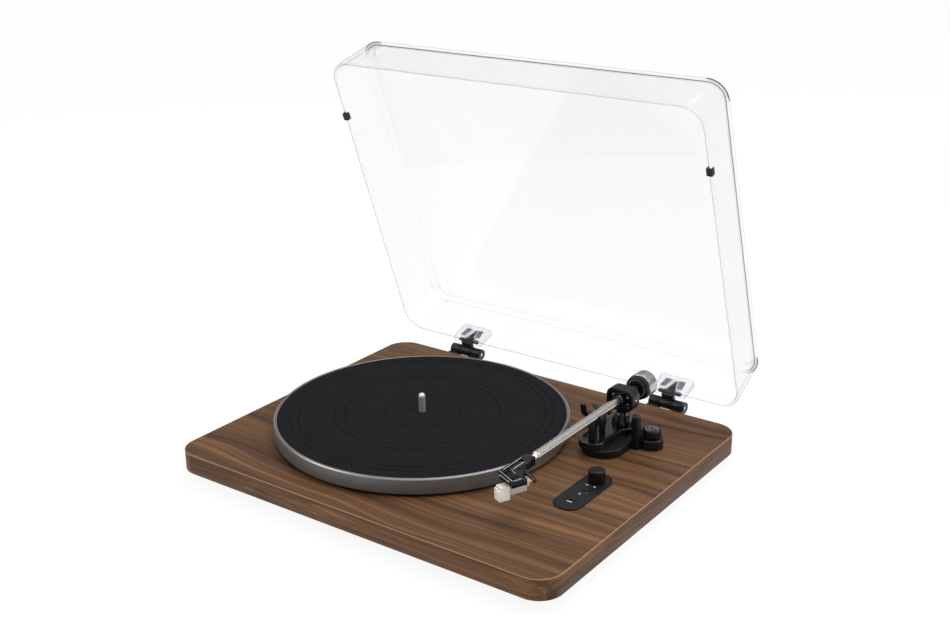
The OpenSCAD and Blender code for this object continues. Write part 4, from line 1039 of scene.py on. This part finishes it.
ring = along_y(window(round_rect(30, 23, 8, 10), round_rect(23, 16, 4.8, 10), -7, 7, 0.8, 4))
ring = mesh_object("gimbal_frame", move(ring, arm_x, arm_y, ARM_Z), satin_black)
carve(ring, move(along_x(prism(circle(2.2, 32), -20, 20, 0.05)), arm_x, arm_y, ARM_Z))
dress(ring, "gimbal_ring")
dress(rounded_copy("gimbal_pivots", "gimbal_screws", screw_steel, 0.15), "gimbal_screws")
dress(rounded_copy("gimbal_core", "gimbal_block", gloss_black, 0.6, 3), "gimbal_block")
collar = lathe([(4.5, 0), (6.6, 0, 0.5), (6.6, 2.2, 0.8), (5.6, 5.4, 0.6), (5.2, 5.8), (4.5, 5.8)], 56,
               closed=True)
collar = move(turn(collar, 90, "X"), arm_x, arm_y - 5, ARM_Z)
belongs(mesh_object("tube_collar", collar, gloss_black), "gimbal_block")
cap_screw = lathe([(0, -0.4), (1.25, -0.4), (1.25, 0.5, 0.2), (1.0, 0.8, 0.2), (0.62, 0.8), (0.55, 0.35),
                   (0, 0.35)], 28)
screw_spots = [(arm_x + x, arm_y - 5, ARM_Z + z, 90, 0, 0) for x in (-8.3, 8.3) for z in (-3.7, 3.7)]
belongs(on_points("gimbal_cap_screws", cap_screw, screw_spots, screw_steel), "gimbal_block")

# ---- Tonearm, weight and head ----


def on_arm(shape, behind):
    """Lays a turned shape along the arm, its foot so far behind the pivot."""
    return move(turn(shape, -90, "X"), arm_x, arm_y + behind, ARM_Z)


tube = lathe([(0, 0), (3.2, 0, 0.4), (3.2, 13.4), (3.5, 13.8), (4.3, 14.2, 0.3), (4.4, 14.9, 0.4),
              (4.4, 169), (0, 169)], 64)
dress(mesh_object("tube_silver", on_arm(tube, -171), tube_silver), "arm_tube")
stub = lathe([(0, 0), (4.15, 0), (4.15, 27), (4.95, 27.5), (4.95, 44.2, 0.4), (4.4, 45), (0, 45)], 48)
dress(mesh_object("weight_stub", on_arm(stub, 2), satin_black), "rear_stub")
dial_ring = lathe([(5.05, 0), (10.8, 0, 0.3), (12.2, 1.2, 0.4), (12.4, 5.4), (5.05, 5.4)], 96, closed=True)
dress(mesh_object("force_dial_body", on_arm(dial_ring, 26.5), satin_black), "force_ring")
ridges = on_ring("force_dial_ridges", block((-0.2, -0.2, 0), (0.3, 0.2, 3.6), 0.08), 72, 12.25, satin_black,
                 (arm_x, arm_y + 31.8, ARM_Z), facing=(90, 0, 0))
belongs(ridges, "force_ring")
ticks = on_ring("force_dial_ticks", block((-0.7, -0.12, 0), (0.7, 0.12, 0.12), 0.03), 40, 9.2, white_mark,
                (arm_x, arm_y + 26.55, ARM_Z), facing=(90, 0, 0))
belongs(ticks, "force_ring")
weight = lathe([(5.05, 0), (12.4, 0, 0.3), (13.3, 0.9, 0.4), (13.3, 14, 0.4), (12.3, 15, 0.5),
                (9.2, 15, 0.4), (8.8, 13.2, 0.3), (5.05, 13.2)], 120, closed=True)
dress(mesh_object("weight_body", on_arm(weight, 32.3), weight_silver), "counterweight")

for name, node, finish, edge in (
        ("headshell_body", "headshell", head_black, 0.25),
        ("headshell_bolts", "headshell_screws", black_metal, 0.12),
        ("finger_lift_blade", "finger_lift", head_black, 0.25),
        ("cartridge_shell", "cartridge_body", cartridge_grey, 0.35),
        ("cartridge_terminals", "cartridge_pins", cream_nylon, 0.15)):
    dress(rounded_copy(name, node, finish, edge), node)
HEAD_X, HEAD_Y, HEAD_TURN = 133, -114.6, -24


def at_head(shape):
    """Places a shape drawn along the cartridge's own axis, its front towards -y."""
    return move(turn(shape, HEAD_TURN), HEAD_X, HEAD_Y)


def rail(start, end, width, low, high, edge=0.15):
    """A straight bar between two spots on the deck."""
    run = Vector(end) - Vector(start)
    bar = block((0, -width / 2, low), (run.length, width / 2, high), edge)
    return move(turn(bar, math.degrees(math.atan2(run.y, run.x))), start[0], start[1])


HEAD_TOP = 45.9
# painted highlights: pale strips laid along the headshell's edges and ridges, where its gloss black catches
# the light
highlight_strips = [rail((126.8, -107.8), (126.8, -79), 0.8, 47.4, 47.85),
         rail((123.4, -109.2), (144.2, -119.3), 0.7, HEAD_TOP, 46.6),
         rail((145, -118.6), (148.1, -110.6), 0.6, HEAD_TOP, 46.5),
         rail((131.2, -101.5), (138.6, -106.5), 0.55, HEAD_TOP, 46.6),
         rail((132.2, -100), (132.2, -82.1), 1.0, HEAD_TOP, 46.9)]
belongs(mesh_object("headshell_rails", join(*highlight_strips), painted_highlight_grey), "headshell")
# painted shade: thin black strips on the headshell's top stand for the dark insides of its slots
slots = [at_head(block((x - 0.9, -1.5, 45.6), (x + 0.9, 8.5, 46.08), 0.03)) for x in (-3.2, 0, 3.2)]
belongs(mesh_object("headshell_slots", join(*slots), painted_slot_shade), "headshell")
shoe = at_head(join(block((-7.55, -1.05, 40.4), (7.55, 8.05, 43.95), 0.3),
                    block((-5.56, 3.36, 34.6), (5.56, 19.64, 41.3), 0.3)))
belongs(mesh_object("cartridge_shoe", shoe, head_black), "cartridge_body")
guard = at_head(block((-5.05, -8.15, 24.05), (5.05, 2.9, 35.4), 0.9))
guard = mesh_object("guard_shell", guard, milky_acrylic)
carve(guard, at_head(block((-3.9, -7.0, 33.5), (5.05, 2.9, 37.9), 0.8)), operation="UNION")
carve(guard, at_head(block((-3.6, -6.9, 20), (3.6, 6, 31.5), 0.5)),
      at_head(move(along_y(prism(circle(1.25, 28), -12, -5, 0.05)), -1.6, 0, 33.0)))
dress(guard, "stylus_guard")

# ---- Arm rest, lift and lever ----

for name, node, edge, steps in (
        ("rest_clip", "arm_rest", 0.35, 2), ("lift_housing", "cue_housing", 0.4, 2),
        ("lift_platform", "cue_platform", 0.4, 2), ("lever_blade", "cue_lever", 0.6, 3)):
    dress(rounded_copy(name, node, satin_black, edge, steps), node)

# ---- Anti-skate ----

dress(rounded_copy("antiskate_post", "antiskate_bracket", satin_black, 0.8, 3), "antiskate_bracket")
POST_X, POST_Y = 155, 81
post = lathe([(0, 0.02), (3.9, 0.02), (3.9, 33.6, 2.2), (2.2, 35.8, 1.5), (0, 36)], 48)
belongs(mesh_object("antiskate_round_post", move(post, POST_X, POST_Y), satin_black), "antiskate_bracket")
dial_x, dial_y = spot("antiskate_dial")
dial_base = lathe([(0, -6.9), (4.2, -6.9), (4.2, 0), (11.9, 0.02, 0.3), (11.95, 9.2, 0.5), (11.2, 10.3, 0.5),
                   (10.2, 10.45), (10.0, 10.1), (3.1, 10.1), (3.1, 4), (0, 4)], 90)
dress(mesh_object("dial_base", move(dial_base, dial_x, dial_y), satin_black), "antiskate_collar")
dial = lathe([(0, 4.2), (2.95, 4.2), (2.95, 10.8), (8.9, 10.8, 0.2), (9.05, 11.2), (9.05, 18.8, 0.5),
              (8.2, 19.85, 0.5), (7.6, 19.95), (7.3, 19.5, 0.2), (4.4, 19.5, 0.2), (4.1, 19.9, 0.2),
              (0, 19.9)], 90)
dress(mesh_object("dial_cap", move(dial, dial_x, dial_y), satin_black), "antiskate_dial")
dial_rib = block((-0.3, -0.34, 0), (0.12, 0.34, 6.6), 0.1)
belongs(on_ring("dial_grip", dial_rib, 36, 9.06, satin_black, (dial_x, dial_y, 11.7)), "antiskate_dial")
scale = on_ring("dial_scale", block((-0.95, -0.15, 0), (0.95, 0.15, 0.12), 0.03), 24, 5.9, grey_mark,
                (dial_x, dial_y, 19.5), sweep=300)
belongs(scale, "antiskate_dial")
hub = lathe([(2.9, 19.88), (3.3, 19.88), (3.3, 19.97), (2.9, 19.97)], 40, closed=True)
belongs(mesh_object("dial_hub_ring", move(hub, dial_x, dial_y), grey_mark), "antiskate_dial")

# ---- Hinges ----

HINGE_X = (-131, 131)
HINGE_Y, HINGE_Z, LID_OPEN = 191.4, 0.7, -70.3


def opened(shape):
    """Swings a shape that is drawn on the shut cover up to where the cover stands open."""
    return turn(shape, LID_OPEN, "X", (0, HINGE_Y, HINGE_Z))


dress(rounded_copy("bracket_plates", "hinge_brackets", satin_black, 0.6, 3), "hinge_brackets")
dress(rounded_copy("bracket_screws", "hinge_screws", black_metal, 0.12), "hinge_screws")
dress(rounded_copy("tongue_plates", "hinge_tongues", satin_black, 0.4, 2), "hinge_tongues")
flanges = [opened(block((x - 12.7, 179.95, 5.3), (x + 12.7, 181.85, 9.7), 0.4)) for x in HINGE_X]
belongs(mesh_object("tongue_flanges", join(*flanges), satin_black), "hinge_tongues")
dress(rounded_copy("clear_sockets", "hinge_sockets", socket_acrylic, 0.4, 3), "hinge_sockets")

# the pockets that show through each clear socket, on both sides of the tongue: a pane of painted grey shade
# in each, with a painted white highlight round its edge
shade_panes, highlight_frames = [], []
for hinge_x in HINGE_X:
    for side in (-1, 1):
        corners = [(side * 6.6 + hinge_x, 10.6, 1.6), (side * 13.2 + hinge_x, 10.6, 1.6),
                   (side * 11.6 + hinge_x, 23.4, 0.8), (side * 3.9 + hinge_x, 23.4, 0.8)]
        pane = soften(corners if side > 0 else corners[::-1], True, 5)
        shade_panes.append(opened(along_y(prism(pane, 177.0, 177.3, 0.1))))
        highlight_frames.append(opened(along_y(window(inset(pane, -0.75), pane, 176.8, 177.5, 0.2))))
belongs(mesh_object("socket_panes", join(*shade_panes), pocket_grey), "hinge_sockets")
belongs(mesh_object("socket_frames", join(*highlight_frames), pocket_white), "hinge_sockets")

# ---- Back panel ----

for name, node, finish, edge in (
        ("socket_plate", "jack_plate", grey_black, 0.25),
        ("phono_shells", "rca_sockets", plated, 0.2),
        ("ground_screw", "ground_post", bright_steel, 0.25),
        ("power_inlet", "dc_inlet", satin_black, 0.15),
        ("slide_switch_tab", "line_switch", white_nylon, 0.2)):
    dress(rounded_copy(name, node, finish, edge), node)
insulator = turn(lathe([(4.3, 0), (6.3, 0), (6.3, 1.0, 0.3), (4.3, 1.0, 0.3)], 48, closed=True), -90, "X")
for name, x, finish in (("phono_ring_red", 25, red_ring), ("phono_ring_white", 43, white_nylon)):
    belongs(mesh_object(name, move(insulator, x, PLINTH_D / 2, -11), finish), "rca_sockets")

# ---- Cover ----

LID_W, LID_D, LID_R, LID_DRAFT, LID_WALL = 431, 353.2, 24, 3, 3
LID_LOW, LID_TOP, LID_EDGE = 2.5, 61.5, 8


def lid_loop(inward, height, leaning=0.0):
    """One level of the cover's skin: so far in from the rim's outline, and leaning in by the draft."""
    inward += leaning * LID_DRAFT
    return [(x, y, height) for x, y in
            round_rect(LID_W - 2 * inward, LID_D - 2 * inward, LID_R - inward, 12)]


def lid_skin(wall, low):
    """From the rim up the side, round the top edge and a little way in over the top."""
    edge = LID_EDGE - wall
    shoulder = LID_TOP - LID_EDGE
    heights = (low, low + 1.5, (low + shoulder) / 2, shoulder - 1.5, shoulder)
    loops = [lid_loop(wall, z, (z - LID_LOW) / (shoulder - LID_LOW)) for z in heights]
    for i in range(1, 9):
        a = math.pi / 2 * i / 8
        loops.append(lid_loop(wall + edge * (1 - math.cos(a)), shoulder + edge * math.sin(a), 1))
    loops.append(lid_loop(wall + edge + 1.5, shoulder + edge, 1))
    return loops


rim = [lid_loop(LID_WALL - 0.3, LID_LOW + 0.3), lid_loop(LID_WALL - 0.8, LID_LOW), lid_loop(0.8, LID_LOW),
       lid_loop(0.3, LID_LOW + 0.3)]
shell = loft(lid_skin(LID_WALL, LID_LOW + 0.8)[::-1] + rim + lid_skin(0, LID_LOW + 0.8))
cover = mesh_object("cover_shell", opened(shell), clear_acrylic, sharp=50)
# the polished rim and the rounded edge get a stronger painted grey shade where they are seen at a grazing
# angle
cover.data.materials.append(edge_acrylic)
shut = Matrix.Rotation(math.radians(-LID_OPEN), 4, "X")
for face in cover.data.polygons:
    height = (shut @ ((face.center - in_frame((0, HINGE_Y, HINGE_Z))) / MM)).z + HINGE_Z
    if height < LID_LOW + 0.7 or (LID_TOP - LID_EDGE < height < LID_TOP - 0.02 and face.area < 0.0004):
        face.material_index = 1
dress(cover, "lid_shell")
dress(rounded_copy("cover_bumpers", "lid_bumpers", black_rubber, 0.8, 3), "lid_bumpers")

# ---- Studio ----

FLOOR_GLOW = 0.91
AIR = 0.85
# each lamp's name, place and size in metres, and power in watts
LAMPS = [
    ("overhead_softbox", (0.25, 0.35, 1.9), (1.5, 1.1), 17),
    ("back_right_softbox", (1.7, 0.9, 1.3), (1.0, 1.0), 16),
    ("front_left_softbox", (-1.5, -1.3, 1.5), (1.2, 1.2), 12),
]


def studio():
    """A pale floor that glows, a sky that brightens upwards and three soft lamps."""
    floor = bpy.data.meshes.new("studio_floor")
    floor.from_pydata([(-12, -12, 0), (12, -12, 0), (12, 12, 0), (-12, 12, 0)], [], [(0, 1, 2, 3)])
    ground = bpy.data.objects.new("studio_floor", floor)
    bpy.context.scene.collection.objects.link(ground)
    pale = new_material("pale_floor", {
        "Base Color": (0.10, 0.10, 0.10, 1), "Emission Color": (1, 1, 1, 1),
        "Emission Strength": FLOOR_GLOW, "Roughness": 0.9, "Specular IOR Level": 0.0})[0]
    floor.materials.append(pale)

    world = bpy.data.worlds.new("studio_air")
    bpy.context.scene.world = world
    world.use_nodes = True
    tree = world.node_tree
    air = tree.nodes["Background"]
    where = tree.nodes.new("ShaderNodeTexCoord")
    height = axes(tree, where.outputs["Generated"])["Z"]
    shade = tree.nodes.new("ShaderNodeValToRGB")
    stops = shade.color_ramp.elements
    stops[0].position, stops[0].color = 0.0, (0.42, 0.425, 0.44, 1)
    stops[1].position, stops[1].color = 0.85, (1.0, 1.0, 1.0, 1)
    middle_stop = stops.new(0.3)
    middle_stop.color = (0.34, 0.345, 0.36, 1)
    tree.links.new(height, shade.inputs["Fac"])
    tree.links.new(shade.outputs["Color"], air.inputs["Color"])
    air.inputs["Strength"].default_value = AIR

    for name, place, size, power in LAMPS:
        light = bpy.data.lights.new(name, "AREA")
        light.shape = "RECTANGLE"
        light.size, light.size_y = size
        light.energy = power
        lamp = bpy.data.objects.new(name, light)
        bpy.context.scene.collection.objects.link(lamp)
        lamp.location = place
        lamp.rotation_euler = (Vector((0, 0, 0.05)) - Vector(place)).to_track_quat("-Z", "Y").to_euler()


studio()

# ---- Camera ----

azimuth, elevation, roll = math.radians(36.07), math.radians(20.57), math.radians(-0.64)
level = math.cos(elevation)
back = Vector((math.sin(azimuth) * level, -math.cos(azimuth) * level, math.sin(elevation)))
right = Vector((0, 0, 1)).cross(back).normalized()
up = back.cross(right)
level_right = right * math.cos(roll) + up * math.sin(roll)
level_up = up * math.cos(roll) - right * math.sin(roll)
lens = bpy.data.cameras.new("camera")
lens.lens, lens.sensor_width = 50.81, 36
lens.clip_start, lens.clip_end = 0.05, 60
camera = bpy.data.objects.new("camera", lens)
bpy.context.scene.collection.objects.link(camera)
facing = Matrix((level_right, level_up, back)).transposed().to_4x4()
camera.matrix_world = Matrix.Translation((0.72853, -1.00371, 0.61997)) @ facing
bpy.context.scene.camera = camera
bpy.context.scene.view_settings.view_transform = "Standard"
